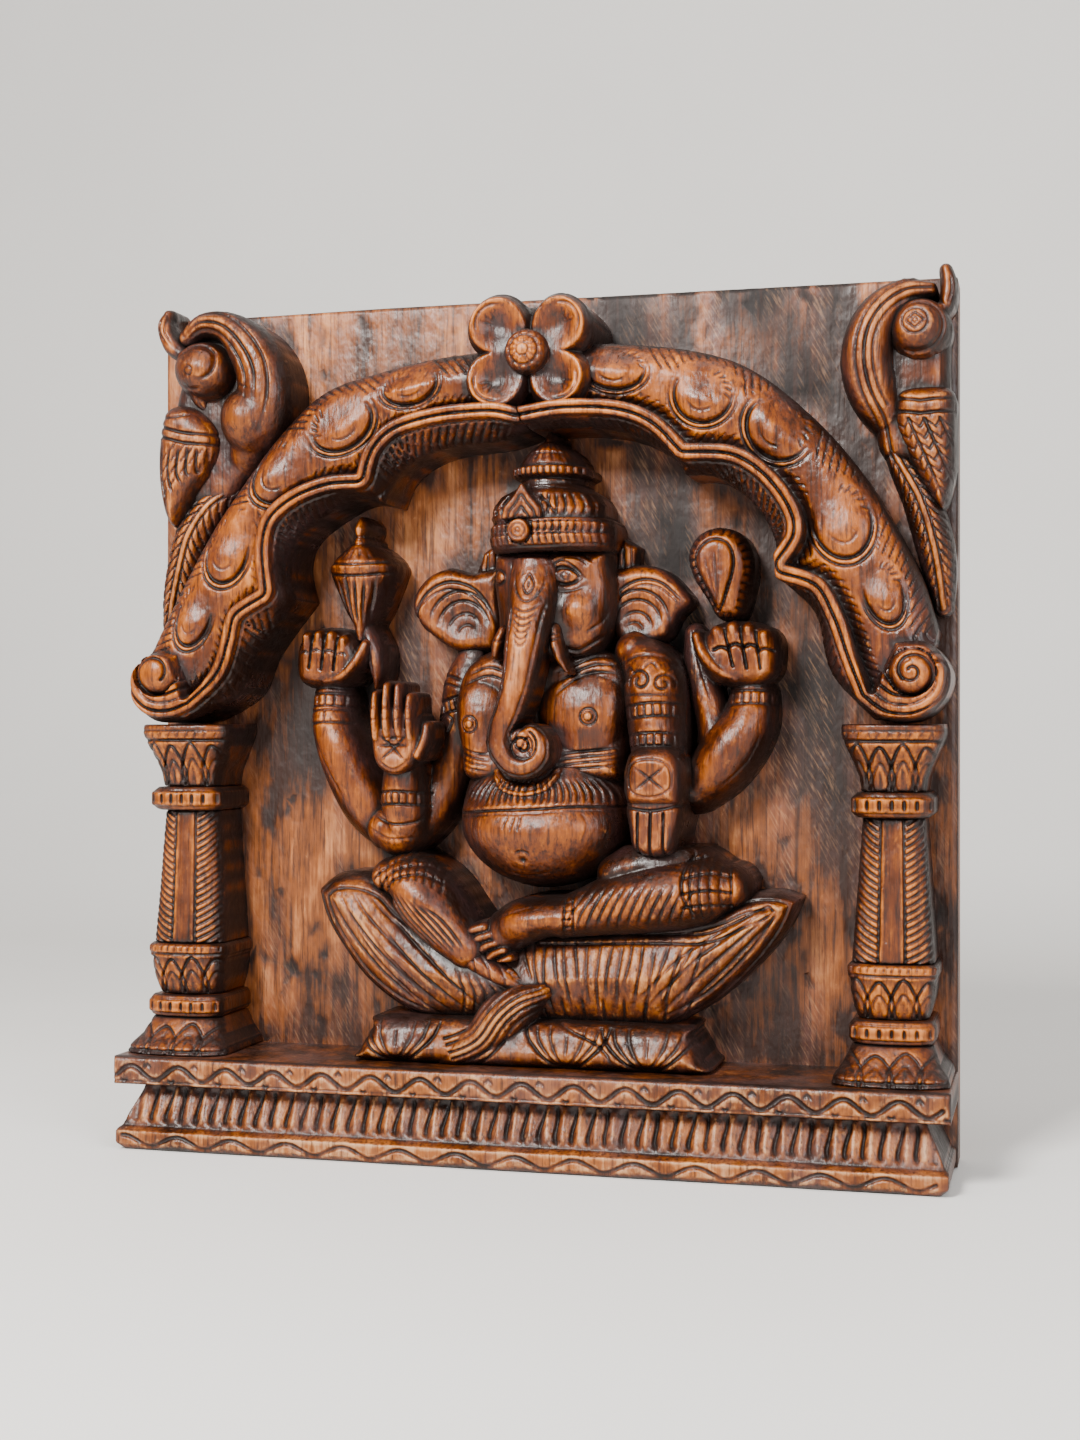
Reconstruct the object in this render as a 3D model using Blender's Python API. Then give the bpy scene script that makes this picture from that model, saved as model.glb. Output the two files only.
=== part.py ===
"""Carved hardwood wall panel: a seated elephant-headed figure under a cusped arch.

Row frame in metres: the origin is the centre of the flat back face, +Z is up and
the carved side faces -Y. The carver's measures below are in millimetres: x to the
right, z up, and depth forward from the back face (so y = -depth).
Every carved element is its own closed solid seated on the back board.
"""

import math

import bmesh
import bpy

MM = 0.001

# Driving dimensions, in millimetres
PANEL_WIDTH = 440.0
PANEL_HEIGHT = 457.0
BOARD_DEPTH = 26.0
BLOCK_DEPTH = 92.0
SEAT_GAP = 0.3
BASE_TOP = -178.5
BASE_UNDERCUT = -193.5
BASE_RECESS = 14.0
PILLAR_X = 190.0
CAPITAL_TOP = -1.0
FIGURE_AXIS = 9.0

HALF_WIDTH = PANEL_WIDTH / 2
BOTTOM = -PANEL_HEIGHT / 2
GROUND = BOARD_DEPTH + SEAT_GAP
CHEST_FRONT = 66.0
HEAD_FRONT = 70.0
PETAL_FRONT = 80.0

# Hanging plates let into the back, and their screws
PLATE_X = 130.0
PLATE_Z = 165.0
PLATE_WIDTH = 18.0
PLATE_HEIGHT = 56.0
PLATE_THICK = 1.2
PLATE_SCREW_Z = 21.0
KEYHOLE_HEAD_R = 4.0
KEYHOLE_NECK_R = 2.0
KEYHOLE_TRAVEL = 9.0
HEAD_POCKET = 2.6
SCREW_HEAD_R = 3.4
SCREW_SHANK_R = 1.6
SCREW_LENGTH = 15.0
SCREW_CLEARANCE = 0.25

WOOD_COLOURS = {
    "board_wood": (0.115, 0.062, 0.045),
    "base_wood": (0.155, 0.078, 0.048),
    "pillar_wood": (0.150, 0.062, 0.028),
    "arch_wood": (0.190, 0.076, 0.030),
    "bird_wood": (0.140, 0.056, 0.026),
    "figure_wood": (0.180, 0.070, 0.028),
    "seat_wood": (0.145, 0.060, 0.030),
}


def clear_scene():
    for obj in list(bpy.data.objects):
        bpy.data.objects.remove(obj)


def principled(name, colour, roughness, metallic):
    material = bpy.data.materials.new(name)
    material.use_nodes = True
    shader = material.node_tree.nodes["Principled BSDF"]
    shader.inputs["Base Color"].default_value = (*colour, 1.0)
    shader.inputs["Roughness"].default_value = roughness
    shader.inputs["Metallic"].default_value = metallic
    material.diffuse_color = (*colour, 1.0)
    return material


def point(x, depth, z):
    return (x * MM, -depth * MM, z * MM)


def add_object(name, bm, material, smooth=True):
    """Turns bm into a scene object with outward normals."""
    bmesh.ops.recalc_face_normals(bm, faces=bm.faces)
    for face in bm.faces:
        face.smooth = smooth and len(face.verts) == 4
    mesh = bpy.data.meshes.new(name)
    bm.to_mesh(mesh)
    bm.free()
    mesh.materials.append(material)
    obj = bpy.data.objects.new(name, mesh)
    bpy.context.scene.collection.objects.link(obj)
    return obj


def skin_rings(name, rings, material, smooth=True):
    """A closed solid through rings of equal point count, capped at both ends."""
    bm = bmesh.new()
    loops = [[bm.verts.new(point(*corner)) for corner in ring] for ring in rings]
    count = len(loops[0])
    for low, high in zip(loops, loops[1:]):
        for i in range(count):
            j = (i + 1) % count
            bm.faces.new((low[i], low[j], high[j], high[i]))
    bm.faces.new(loops[0])
    bm.faces.new(loops[-1])
    return add_object(name, bm, material, smooth)


def catmull(p0, p1, p2, p3, t):
    """The point at t between p1 and p2 on a Catmull-Rom curve."""
    blend = (
        -0.5 * t + t * t - 0.5 * t**3,
        1 - 2.5 * t * t + 1.5 * t**3,
        0.5 * t + 2 * t * t - 1.5 * t**3,
        -0.5 * t * t + 0.5 * t**3,
    )
    return tuple(
        sum(w * c for w, c in zip(blend, column)) for column in zip(p0, p1, p2, p3)
    )


def curve_through(points, steps=4):
    """An open smooth line through the points, ends included."""
    ends = [points[0], *points, points[-1]]
    line = [
        catmull(*ends[i : i + 4], step / steps)
        for i in range(len(points) - 1)
        for step in range(steps)
    ]
    return [*line, tuple(map(float, points[-1]))]


def loop_through(points, steps=4):
    """A closed smooth line through the points."""
    count = len(points)
    return [
        catmull(*(points[(i + k) % count] for k in (-1, 0, 1, 2)), step / steps)
        for i in range(count)
        for step in range(steps)
    ]


def inset(outline, distance):
    """The outline moved inwards along its corner normals."""
    area = sum(
        a[0] * b[1] - b[0] * a[1] for a, b in zip(outline, outline[1:] + outline[:1])
    )
    turn = 1.0 if area > 0 else -1.0
    moved = []
    for i, (x, z) in enumerate(outline):
        before = outline[i - 1]
        after = outline[(i + 1) % len(outline)]
        dx, dz = after[0] - before[0], after[1] - before[1]
        length = math.hypot(dx, dz) or 1.0
        moved.append(
            (x - turn * distance * dz / length, z + turn * distance * dx / length)
        )
    return moved


def relief(name, outline, front, edge, material, back=GROUND):
    """A flat-fronted relief element whose front edge is rounded over."""
    steps = ((0.0, front - edge), (0.15, front - 0.45 * edge), (0.5, front - 0.1 * edge))
    rings = [[(x, back, z) for x, z in outline]]
    for share, depth in (*steps, (1.0, front)):
        rings.append([(x, depth, z) for x, z in inset(outline, share * edge)])
    return skin_rings(name, rings, material)


def swelling(name, outline, rim, front, material, back=GROUND, centre=None):
    """A relief element that domes from its rim to its front."""
    count = len(outline)
    cx, cz = centre or (
        sum(p[0] for p in outline) / count,
        sum(p[1] for p in outline) / count,
    )
    rings = [[(x, back, z) for x, z in outline]]
    for degrees in (0, 20, 40, 58, 74):
        share = math.cos(math.radians(degrees))
        depth = rim + (front - rim) * math.sin(math.radians(degrees))
        rings.append(
            [(cx + (x - cx) * share, depth, cz + (z - cz) * share) for x, z in outline]
        )
    return skin_rings(name, rings, material)


def rail(name, route, material, back=GROUND, sides=8):
    """A half-round member on a flat back; route holds (x, z, half width, front)."""
    line = curve_through(route)
    rings = []
    for i, (x, z, half, front) in enumerate(line):
        before = line[max(i - 1, 0)]
        after = line[min(i + 1, len(line) - 1)]
        dx, dz = after[0] - before[0], after[1] - before[1]
        length = math.hypot(dx, dz)
        across = (dz / length, -dx / length)
        shoulder = back + 0.45 * (front - back)
        ring = [(x - across[0] * half, back, z - across[1] * half)]
        for k in range(sides + 1):
            angle = math.pi * k / sides
            reach = -half * math.cos(angle)
            depth = shoulder + (front - shoulder) * math.sin(angle)
            ring.append((x + across[0] * reach, depth, z + across[1] * reach))
        ring.append((x + across[0] * half, back, z + across[1] * half))
        rings.append(ring)
    return skin_rings(name, rings, material)


def stack(name, centre_x, sections, material, chamfer=5.0):
    """An upright member; sections hold (z, half width, front depth) going up."""
    rings = []
    for z, half, front in sections:
        left, right = centre_x - half, centre_x + half
        rings.append(
            [
                (left, GROUND, z),
                (left, front - chamfer, z),
                (left + chamfer, front, z),
                (right - chamfer, front, z),
                (right, front - chamfer, z),
                (right, GROUND, z),
            ]
        )
    return skin_rings(name, rings, material, smooth=False)


def ellipse(cx, cz, rx, rz, count=28):
    return [
        (
            cx + rx * math.cos(2 * math.pi * i / count),
            cz + rz * math.sin(2 * math.pi * i / count),
        )
        for i in range(count)
    ]


# Hanging hardware


def turned(name, profile, x, z, material, count=24):
    """A solid turned about a line through (x, z) along the depth; profile is (r, depth)."""
    rings = [
        [(px, depth, pz) for px, pz in ellipse(x, z, radius, radius, count)]
        for radius, depth in profile
    ]
    return skin_rings(name, rings, material)


def keyhole(x, z, head_r, neck_r, travel, count=9):
    """A keyhole outline: the round entry below, the narrow neck above it."""
    meet = math.acos(neck_r / head_r)
    sweep = math.pi + 2 * meet
    entry = [math.pi - meet + sweep * i / (2 * count) for i in range(2 * count + 1)]
    neck = [math.pi * i / count for i in range(count + 1)]
    return [(x + head_r * math.cos(a), z + head_r * math.sin(a)) for a in entry] + [
        (x + neck_r * math.cos(a), z + travel + neck_r * math.sin(a)) for a in neck
    ]


def rounded_rectangle(x, z, width, height, radius, count=4):
    outline = []
    for corner, (sx, sz) in enumerate(((1, 1), (-1, 1), (-1, -1), (1, -1))):
        cx = x + sx * (width / 2 - radius)
        cz = z + sz * (height / 2 - radius)
        for i in range(count + 1):
            a = math.pi / 2 * (corner + i / count)
            outline.append((cx + radius * math.cos(a), cz + radius * math.sin(a)))
    return outline


def plate(name, outline, back, front, material):
    rings = [[(x, depth, z) for x, z in outline] for depth in (back, front)]
    return skin_rings(name, rings, material, smooth=False)


def cut(target, cutter):
    """Removes the cutter from the target, and keeps the cutter out of the render."""
    cutter.hide_render = True
    cutter.display_type = "WIRE"
    modifier = target.modifiers.new(cutter.name, "BOOLEAN")
    modifier.operation = "DIFFERENCE"
    modifier.solver = "EXACT"
    modifier.object = cutter


def hanging_plate(side, board, steel, screw_steel):
    """A keyhole plate let in flush, its pocket in the board and its two screws."""
    word = "left" if side < 0 else "right"
    x = side * PLATE_X
    body = rounded_rectangle(x, PLATE_Z, PLATE_WIDTH, PLATE_HEIGHT, 4.0)
    entry_z = PLATE_Z - KEYHOLE_TRAVEL / 2
    slot = keyhole(x, entry_z, KEYHOLE_HEAD_R, KEYHOLE_NECK_R, KEYHOLE_TRAVEL)
    hanger = plate(f"{word}_hanging_plate", body, 0.0, PLATE_THICK, steel)
    cut(hanger, plate(f"{word}_keyhole_cutter", slot, -1.0, PLATE_THICK + 1.0, steel))

    floor = PLATE_THICK + SEAT_GAP
    recess = inset(body, -SEAT_GAP)
    cut(board, plate(f"{word}_plate_recess", recess, -1.0, floor, steel))
    reach = KEYHOLE_HEAD_R + 0.5
    pocket_height = KEYHOLE_TRAVEL + 2 * reach
    pocket = rounded_rectangle(x, PLATE_Z, 2 * reach, pocket_height, reach - 0.1)
    cut(board, plate(f"{word}_head_pocket", pocket, 0.5, floor + HEAD_POCKET - 0.3, steel))

    for up, place in ((1, "upper"), (-1, "lower")):
        z = PLATE_Z + up * PLATE_SCREW_Z
        cone = SCREW_HEAD_R - SCREW_SHANK_R
        wide = SCREW_HEAD_R + SCREW_CLEARANCE
        thin = SCREW_SHANK_R + SCREW_CLEARANCE
        hole = [(wide + 0.6, -0.6), (thin, cone), (thin, SCREW_LENGTH + 1.0)]
        for target, kind in ((hanger, "plate"), (board, "board")):
            name = f"{word}_{place}_{kind}_hole"
            cut(target, turned(name, hole, x, z, screw_steel))
        screw = [
            (SCREW_HEAD_R - 0.1, 0.1),
            (SCREW_SHANK_R, cone),
            (SCREW_SHANK_R, SCREW_LENGTH - 3.0),
            (0.4, SCREW_LENGTH),
        ]
        turned(f"{word}_{place}_screw", screw, x, z, screw_steel)


# Base and pillars


def base(material):
    """The two tiers that carry the pillars: a bevelled plinth under a square rail."""
    fillet = BOTTOM + 11.0
    edge = BLOCK_DEPTH - 2.0
    sections = (
        (BOTTOM, HALF_WIDTH - 5.0, edge - 3.0),
        (BOTTOM + 4.0, HALF_WIDTH - 1.0, edge + 1.0),
        (fillet, HALF_WIDTH - 1.0, edge + 1.0),
        (fillet + 1.5, HALF_WIDTH - 3.0, edge - 2.0),
        (BASE_UNDERCUT - SEAT_GAP, HALF_WIDTH - BASE_RECESS, BLOCK_DEPTH - BASE_RECESS),
    )
    stack("base_plinth", 0.0, sections, material, chamfer=2.0)
    sections = (
        (BASE_UNDERCUT, HALF_WIDTH - 2.0, BLOCK_DEPTH - 2.0),
        (BASE_UNDERCUT + 2.0, HALF_WIDTH, BLOCK_DEPTH),
        (BASE_TOP - 2.0, HALF_WIDTH, BLOCK_DEPTH),
        (BASE_TOP, HALF_WIDTH - 1.5, BLOCK_DEPTH - 1.5),
    )
    stack("base_rail", 0.0, sections, material, chamfer=2.0)


def pillar(side, material):
    """One pillar, from its flared foot to the capital that takes the arch."""
    word = "left" if side < 0 else "right"
    foot_top, lower_ring_top, bulb_top = -160.0, -148.0, -120.0
    shaft_top, upper_ring_top = -48.0, -35.0
    pieces = {
        "foot": (
            (BASE_TOP + SEAT_GAP, 29.0, 86.0),
            (-174.0, 28.0, 85.0),
            (-168.0, 23.5, 77.0),
            (foot_top, 20.0, 71.0),
        ),
        "lower_ring": (
            (foot_top + SEAT_GAP, 19.5, 70.0),
            (foot_top + 3.0, 21.5, 73.0),
            (lower_ring_top - 3.0, 21.5, 73.0),
            (lower_ring_top, 19.5, 70.0),
        ),
        "bulb": (
            (lower_ring_top + SEAT_GAP, 17.5, 66.0),
            (-138.0, 20.0, 69.0),
            (-128.0, 21.5, 71.0),
            (-126.0, 22.5, 72.0),
            (bulb_top - 1.5, 22.5, 72.0),
            (bulb_top, 21.0, 70.0),
        ),
        "shaft": (
            (bulb_top + SEAT_GAP, 20.5, 69.0),
            (-85.0, 18.0, 67.0),
            (shaft_top, 15.5, 65.0),
        ),
        "upper_ring": (
            (shaft_top + SEAT_GAP, 17.5, 68.0),
            (shaft_top + 3.0, 20.5, 72.0),
            (upper_ring_top - 3.0, 20.5, 72.0),
            (upper_ring_top, 17.5, 68.0),
        ),
        "capital": (
            (upper_ring_top + SEAT_GAP, 16.0, 66.0),
            (-22.0, 18.5, 68.0),
            (-9.0, 24.5, 73.0),
            (-4.0, 25.5, 74.0),
            (CAPITAL_TOP, 25.0, 73.5),
        ),
    }
    for part, sections in pieces.items():
        stack(f"{word}_pillar_{part}", side * PILLAR_X, sections, material, chamfer=6.0)


# Arch, rosette and birds


def arch(material):
    """The outer scaled band and the inner cusped moulding of each half arch."""
    left_moulding = (
        curve_through([(1, 159), (-14, 161), (-43, 162), (-68, 156), (-81, 144), (-86, 131)])
        + curve_through([(-104, 129), (-125, 122), (-139, 109), (-144, 92), (-142, 71)])
        + curve_through([(-158, 60), (-164, 44), (-170, 28), (-187, 19)])
        + curve_through([(-193, 37), (-206, 38), (-217, 28), (-218, 12), (-206, 1), (-186, 1)])
        + curve_through([(-160, 14), (-150, 36), (-127, 66)])
        + curve_through([(-131, 83), (-126, 98), (-112, 110), (-93, 118), (-76, 115)])
        + curve_through([(-68, 132), (-48, 143), (-14, 148), (1, 150)])
    )
    relief("left_arch_moulding", left_moulding, 82.0, 3.0, material)
    right_moulding = (
        curve_through([(2, 159), (25, 161), (54, 162), (74, 155), (86, 141)])
        + curve_through([(113, 138), (131, 127), (145, 108), (148, 90), (139, 79)])
        + curve_through([(157, 68), (167, 52), (174, 33), (186, 21)])
        + curve_through([(188, 37), (203, 40), (217, 30), (219, 12), (206, 1), (182, 1)])
        + curve_through([(161, 15), (155, 40), (130, 70)])
        + curve_through([(130, 93), (121, 110), (103, 122), (84, 123)])
        + curve_through([(77, 136), (59, 147), (35, 151), (2, 150)])
    )
    relief("right_arch_moulding", right_moulding, 82.0, 3.0, material)

    left_crest = curve_through(
        [
            (-212, 41), (-199, 66), (-180, 100), (-162, 125), (-137, 156), (-111, 177), (-76, 188),
            (-33, 193),
        ]
    ) + curve_through(
        [
            (-33, 167), (-46, 167), (-72, 162), (-88, 148), (-106, 135), (-130, 126), (-147, 108),
            (-152, 88), (-160, 67), (-169, 48), (-176, 32), (-188, 26), (-190, 39), (-203, 42),
        ]
    )
    relief("left_arch_crest", left_crest, 72.0, 2.0, material)
    right_crest = curve_through(
        [(212, 45), (204, 72), (189, 101), (174, 126), (151, 153), (121, 178), (91, 190), (42, 195)]
    ) + curve_through(
        [
            (42, 167), (58, 166), (80, 158), (92, 145), (116, 142), (136, 130), (150, 112),
            (154, 90), (163, 68), (173, 53), (180, 34), (186, 40), (200, 45),
        ]
    )
    relief("right_arch_crest", right_crest, 72.0, 2.0, material)


def rosette(material):
    """Four diagonal petals with a domed centre, over the crown of the arch."""
    cx, cz = 5.0, 190.0
    petals = [
        (
            cx + (22.0 + 8.0 * abs(math.sin(2 * a)) ** 0.6) * math.cos(a),
            cz + (22.0 + 8.0 * abs(math.sin(2 * a)) ** 0.6) * math.sin(a),
        )
        for a in (2 * math.pi * (i + 0.5) / 48 for i in range(48))
    ]
    relief("rosette_petals", petals, PETAL_FRONT, 4.0, material)
    swelling(
        "rosette_centre",
        ellipse(cx, cz, 9.5, 9.5),
        PETAL_FRONT + 2.0,
        88.0,
        material,
        back=PETAL_FRONT + SEAT_GAP,
    )


def bird(word, head, neck, wing, tail, material):
    """A crested bird in a top corner: its neck arches over its own head."""
    swelling(f"{word}_bird_head", loop_through(head, 2), 48.0, 62.0, material)
    rail(f"{word}_bird_neck", neck, material)
    swelling(f"{word}_bird_wing", loop_through(wing, 3), 52.0, 66.0, material)
    rail(f"{word}_bird_tail", tail, material)


def birds(material):
    crest = [(-218, 208), (-214, 226), (-205, 224), (-201, 209), (-193, 207)]
    face = [(-180, 201), (-175, 190), (-179, 181), (-186, 176), (-192, 182)]
    bird(
        "left",
        [*crest, *face, (-199, 190), (-204, 202)],
        [
            (-160, 150, 13, 60),
            (-153, 165, 16, 66),
            (-153, 184, 12, 66),
            (-161, 201, 9, 64),
            (-176, 213, 7, 62),
            (-193, 218, 4, 58),
        ],
        [
            (-211, 170),
            (-190, 171),
            (-177, 160),
            (-179, 142),
            (-190, 128),
            (-204, 106),
            (-211, 120),
            (-214, 145),
        ],
        [
            (-172, 132, 5, 52),
            (-182, 122, 8, 56),
            (-194, 102, 8, 57),
            (-203, 84, 7, 56),
            (-211, 64, 5, 54),
            (-216, 48, 3, 50),
        ],
        material,
    )
    crest = [(219, 206), (218, 225), (211, 226), (205, 216), (199, 211)]
    face = [(195, 204), (190, 194), (192, 183), (200, 177), (211, 180), (217, 192)]
    bird(
        "right",
        [*crest, *face],
        [
            (186, 150, 5, 58),
            (178, 163, 8, 64),
            (174, 182, 9, 66),
            (178, 199, 8, 64),
            (187, 213, 5.5, 61),
            (202, 219, 3.5, 58),
        ],
        [(191, 168), (205, 171), (217, 168), (219, 145), (218, 120), (210, 126), (196, 143)],
        [
            (184, 143, 4, 52),
            (192, 128, 5, 56),
            (201, 108, 7, 57),
            (208, 90, 7, 56),
            (213, 72, 5, 54),
            (216, 56, 3, 50),
        ],
        material,
    )


# The seated figure


def head_group(material):
    """Crown, head, ears, trunk and tusks of the elephant head."""
    dome = [
        (12, 149), (2, 140), (-9, 129), (-14, 117), (-16, 105.5), (14, 104), (44, 105.5),
        (41, 118), (34, 129), (22, 140),
    ]
    relief("crown_dome", loop_through(dome, 2), 78.0, 5.0, material)
    band = [
        (-17, 103), (-19, 97), (-17, 89.6), (14, 88.5), (45, 89.6), (48, 97), (46, 103),
        (14, 103.4),
    ]
    relief("crown_band", band, 84.0, 4.0, material)
    face = [
        (-14, 87.5), (-17, 74), (-15, 58), (-13, 44), (0, 35), (22, 34), (40, 38), (46, 54),
        (47, 72), (43, 87), (14, 86.5),
    ]
    relief("elephant_head", loop_through(face, 2), HEAD_FRONT, 6.0, material)
    left_ear = [
        (-20, 80), (-32, 83), (-48, 83), (-62, 77), (-69, 61), (-61, 45), (-48, 38), (-32, 38),
        (-20, 42), (-19, 60),
    ]
    right_ear = [
        (49, 80), (60, 84), (74, 78), (82, 69), (79, 55), (70, 41), (58, 39.5), (49, 42), (49, 60),
    ]
    swelling("left_ear", loop_through(left_ear, 2), 46.0, 56.0, material)
    swelling("right_ear", loop_through(right_ear, 2), 46.0, 56.0, material)
    trunk = [
        (7, 74, 11.5, 78),
        (5, 56, 11, 84),
        (4, 38, 9.5, 89),
        (0, 18, 9, 91),
        (-5, 0, 8, 91),
        (-2, -10, 7.5, 91),
        (5, -15, 7, 90),
    ]
    rail("trunk", trunk, material, back=HEAD_FRONT + SEAT_GAP)
    tusk_back = HEAD_FRONT + SEAT_GAP
    right_tusk = [(18, 47, 3.0, 78), (20, 38, 3.6, 79), (26, 26, 1.6, 77)]
    left_tusk = [(-9, 47, 2.4, 77), (-11.5, 40, 3.0, 78), (-14, 33, 2.2, 77)]
    rail("right_tusk", right_tusk, material, back=tusk_back)
    rail("left_tusk", left_tusk, material, back=tusk_back)


def body_group(material):
    """Chest, belly, four arms with hands, and what the rear hands hold."""
    chest = [
        (-37, 28), (-20, 32), (10, 31), (38, 32), (48.5, 29), (48.5, 0), (46, -25), (10, -24.6),
        (-26, -25), (-36, -4),
    ]
    relief("chest", chest, CHEST_FRONT, 5.0, material)
    swelling("belly", ellipse(FIGURE_AXIS, -55.0, 44.0, 29.0), 58.0, 88.0, material)

    arm = [
        (-40, 28), (-51, 27), (-51, -27), (-87, -28), (-95, -47), (-81, -64), (-56, -66),
        (-41, -52), (-40, -30),
    ]
    relief("left_front_arm", arm, 72.0, 4.0, material)
    palm = [(-53, -26), (-53, 4), (-57, 14), (-66, 18), (-75, 14), (-80, 4), (-80, -26)]
    relief("left_front_hand", palm, 84.0, 4.0, material)
    arm = [(50, 22), (54, 36), (66, 38), (79, 35), (84, 12), (81, -13.7), (57, -13.7), (50, 0)]
    relief("right_front_arm", arm, 78.0, 6.0, material)
    hand = [(57, -14.2), (85, -14.2), (87, -32), (84, -58), (76, -65), (62, -65), (58, -44)]
    relief("right_front_hand", hand, 88.0, 5.0, material)

    arm = [
        (-128, 14), (-130, 40), (-114, 51), (-99, 46), (-97.5, 20), (-93, 5), (-90, -20),
        (-97, -46), (-105, -44), (-118, -20), (-127, 2),
    ]
    relief("left_rear_arm", loop_through(arm, 2), 60.0, 4.0, material)
    arm = [
        (92, 26), (90, 46), (110, 54), (128, 48), (133, 20), (126, 0), (106, -28), (93, -40),
        (89.5, -14), (98, 8),
    ]
    relief("right_rear_arm", loop_through(arm, 2), 60.0, 4.0, material)
    bud = [
        (-94, 110), (-86, 101), (-76, 88), (-78, 72), (-87, 55), (-98, 54), (-107, 70), (-113, 86),
        (-103, 101),
    ]
    swelling("bud_mace", loop_through(bud, 2), 42.0, 58.0, material)
    leaf = [(99, 99), (87, 91), (85.5, 79), (94, 64), (101, 58.5), (115, 60), (119, 72), (115, 90)]
    swelling("leaf_paddle", loop_through(leaf, 2), 42.0, 57.0, material)


def seat_group(material, seat_material):
    """Crossed legs on a lotus cushion, over a row of lotus petals."""
    leg = [
        (-32, -104), (-22, -99), (6, -96), (38, -85), (70, -79), (98, -78), (110, -86), (107, -97),
        (82, -104), (30, -106.5), (2, -109), (-18, -115), (-33, -113),
    ]
    relief("right_leg", loop_through(leg, 2), 88.0, 4.0, material)
    leg = [
        (-80, -81), (-64, -73), (-49, -79), (-40, -96), (-38.5, -113), (-47, -119), (-68, -106),
        (-81, -94),
    ]
    relief("left_leg", loop_through(leg, 2), 84.0, 4.0, material)
    foot = [(-37, -117), (-14, -119), (4, -128), (8, -139), (-4, -141), (-26, -133), (-44, -123)]
    relief("left_foot", loop_through(foot, 2), 80.0, 3.0, material)
    seat = curve_through([
        (-112, -90), (-90, -94), (-82, -100), (-70, -110), (-49, -125), (-27, -137), (-4, -145),
        (12, -140),
    ]) + curve_through(
        [(11, -124), (8, -113), (32, -110.5), (84, -108), (112, -98), (141, -90)]
    )
    under = curve_through(
        [(124, -122), (100, -146), (74, -156), (10, -157), (-54, -156), (-83, -138), (-103, -113)]
    )
    relief("lotus_seat", seat + under, 76.0, 1.5, seat_material)
    petals = [(-78, -157.7), (84, -157.7), (92, -178.2), (-83, -178.2)]
    relief("lotus_base", petals, 80.0, 5.0, seat_material)


def main():
    clear_scene()
    wood = {
        name: principled(name, colour, 0.42, 0.0) for name, colour in WOOD_COLOURS.items()
    }
    plate_steel = principled("plate_steel", (0.52, 0.50, 0.46), 0.38, 1.0)
    screw_steel = principled("screw_steel", (0.60, 0.58, 0.55), 0.30, 1.0)

    outline = rounded_rectangle(0.0, 0.0, PANEL_WIDTH, PANEL_HEIGHT, 1.5)
    board = plate("back_board", outline, 0.0, BOARD_DEPTH, wood["board_wood"])
    for side in (-1, 1):
        hanging_plate(side, board, plate_steel, screw_steel)
        pillar(side, wood["pillar_wood"])
    base(wood["base_wood"])
    arch(wood["arch_wood"])
    birds(wood["bird_wood"])
    rosette(wood["arch_wood"])
    head_group(wood["figure_wood"])
    body_group(wood["figure_wood"])
    seat_group(wood["figure_wood"], wood["seat_wood"])


main()
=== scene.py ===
"""Looks of the carved wall panel: every wooden element is sculpted here as a height
over its own patch of the panel, meshed, and finished as varnished, stained hardwood.

The carver's measures are millimetres in the row frame: x to the right, z up, and
depth forward from the flat back face, so that y = -depth.
"""

import math

import bmesh
import bpy
import mathutils
import numpy as np
import openvdb
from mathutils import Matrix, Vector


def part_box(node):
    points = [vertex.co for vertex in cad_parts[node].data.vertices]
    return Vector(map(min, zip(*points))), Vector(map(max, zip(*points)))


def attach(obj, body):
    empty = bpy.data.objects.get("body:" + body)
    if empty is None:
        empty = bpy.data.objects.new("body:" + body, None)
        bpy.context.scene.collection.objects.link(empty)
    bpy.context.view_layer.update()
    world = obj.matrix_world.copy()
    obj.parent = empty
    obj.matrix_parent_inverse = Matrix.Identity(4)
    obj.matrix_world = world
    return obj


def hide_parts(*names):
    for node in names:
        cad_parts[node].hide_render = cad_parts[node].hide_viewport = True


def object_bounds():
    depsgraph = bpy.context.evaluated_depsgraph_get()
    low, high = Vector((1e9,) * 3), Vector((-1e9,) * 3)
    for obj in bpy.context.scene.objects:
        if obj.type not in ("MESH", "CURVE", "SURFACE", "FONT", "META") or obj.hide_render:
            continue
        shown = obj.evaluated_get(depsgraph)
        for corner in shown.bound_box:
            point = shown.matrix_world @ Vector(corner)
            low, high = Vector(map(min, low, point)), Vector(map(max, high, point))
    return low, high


MM = 0.001
STEP = 0.7  # grid of a carved element, in mm
ROUND = 1.2  # rounding of the edge between an element's face and its walls
LOW = np.float32(-1e3)  # the height where a patch holds nothing
BOARD_FRONT = 26.0
SUNK = BOARD_FRONT - 4.0  # elements start a little behind the board's face

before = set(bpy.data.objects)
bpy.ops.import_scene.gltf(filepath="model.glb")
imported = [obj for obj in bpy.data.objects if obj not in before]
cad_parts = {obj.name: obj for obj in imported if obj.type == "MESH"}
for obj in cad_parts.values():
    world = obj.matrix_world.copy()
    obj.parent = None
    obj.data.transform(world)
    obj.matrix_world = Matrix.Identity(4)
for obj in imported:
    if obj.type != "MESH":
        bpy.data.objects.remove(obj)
cad_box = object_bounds()
rng = np.random.default_rng(7)


# Lines in the plan


def curve(points, steps=6):
    """A smooth open line through the points, ends included."""
    p = np.array([points[0], *points, points[-1]], float)
    t = np.arange(steps)[:, None] / steps
    parts = [
        0.5
        * (
            2 * p[i + 1]
            + (p[i + 2] - p[i]) * t
            + (2 * p[i] - 5 * p[i + 1] + 4 * p[i + 2] - p[i + 3]) * t**2
            + (3 * p[i + 1] - 3 * p[i + 2] + p[i + 3] - p[i]) * t**3
        )
        for i in range(len(p) - 3)
    ]
    return np.vstack([*parts, p[-1:]])


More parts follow.
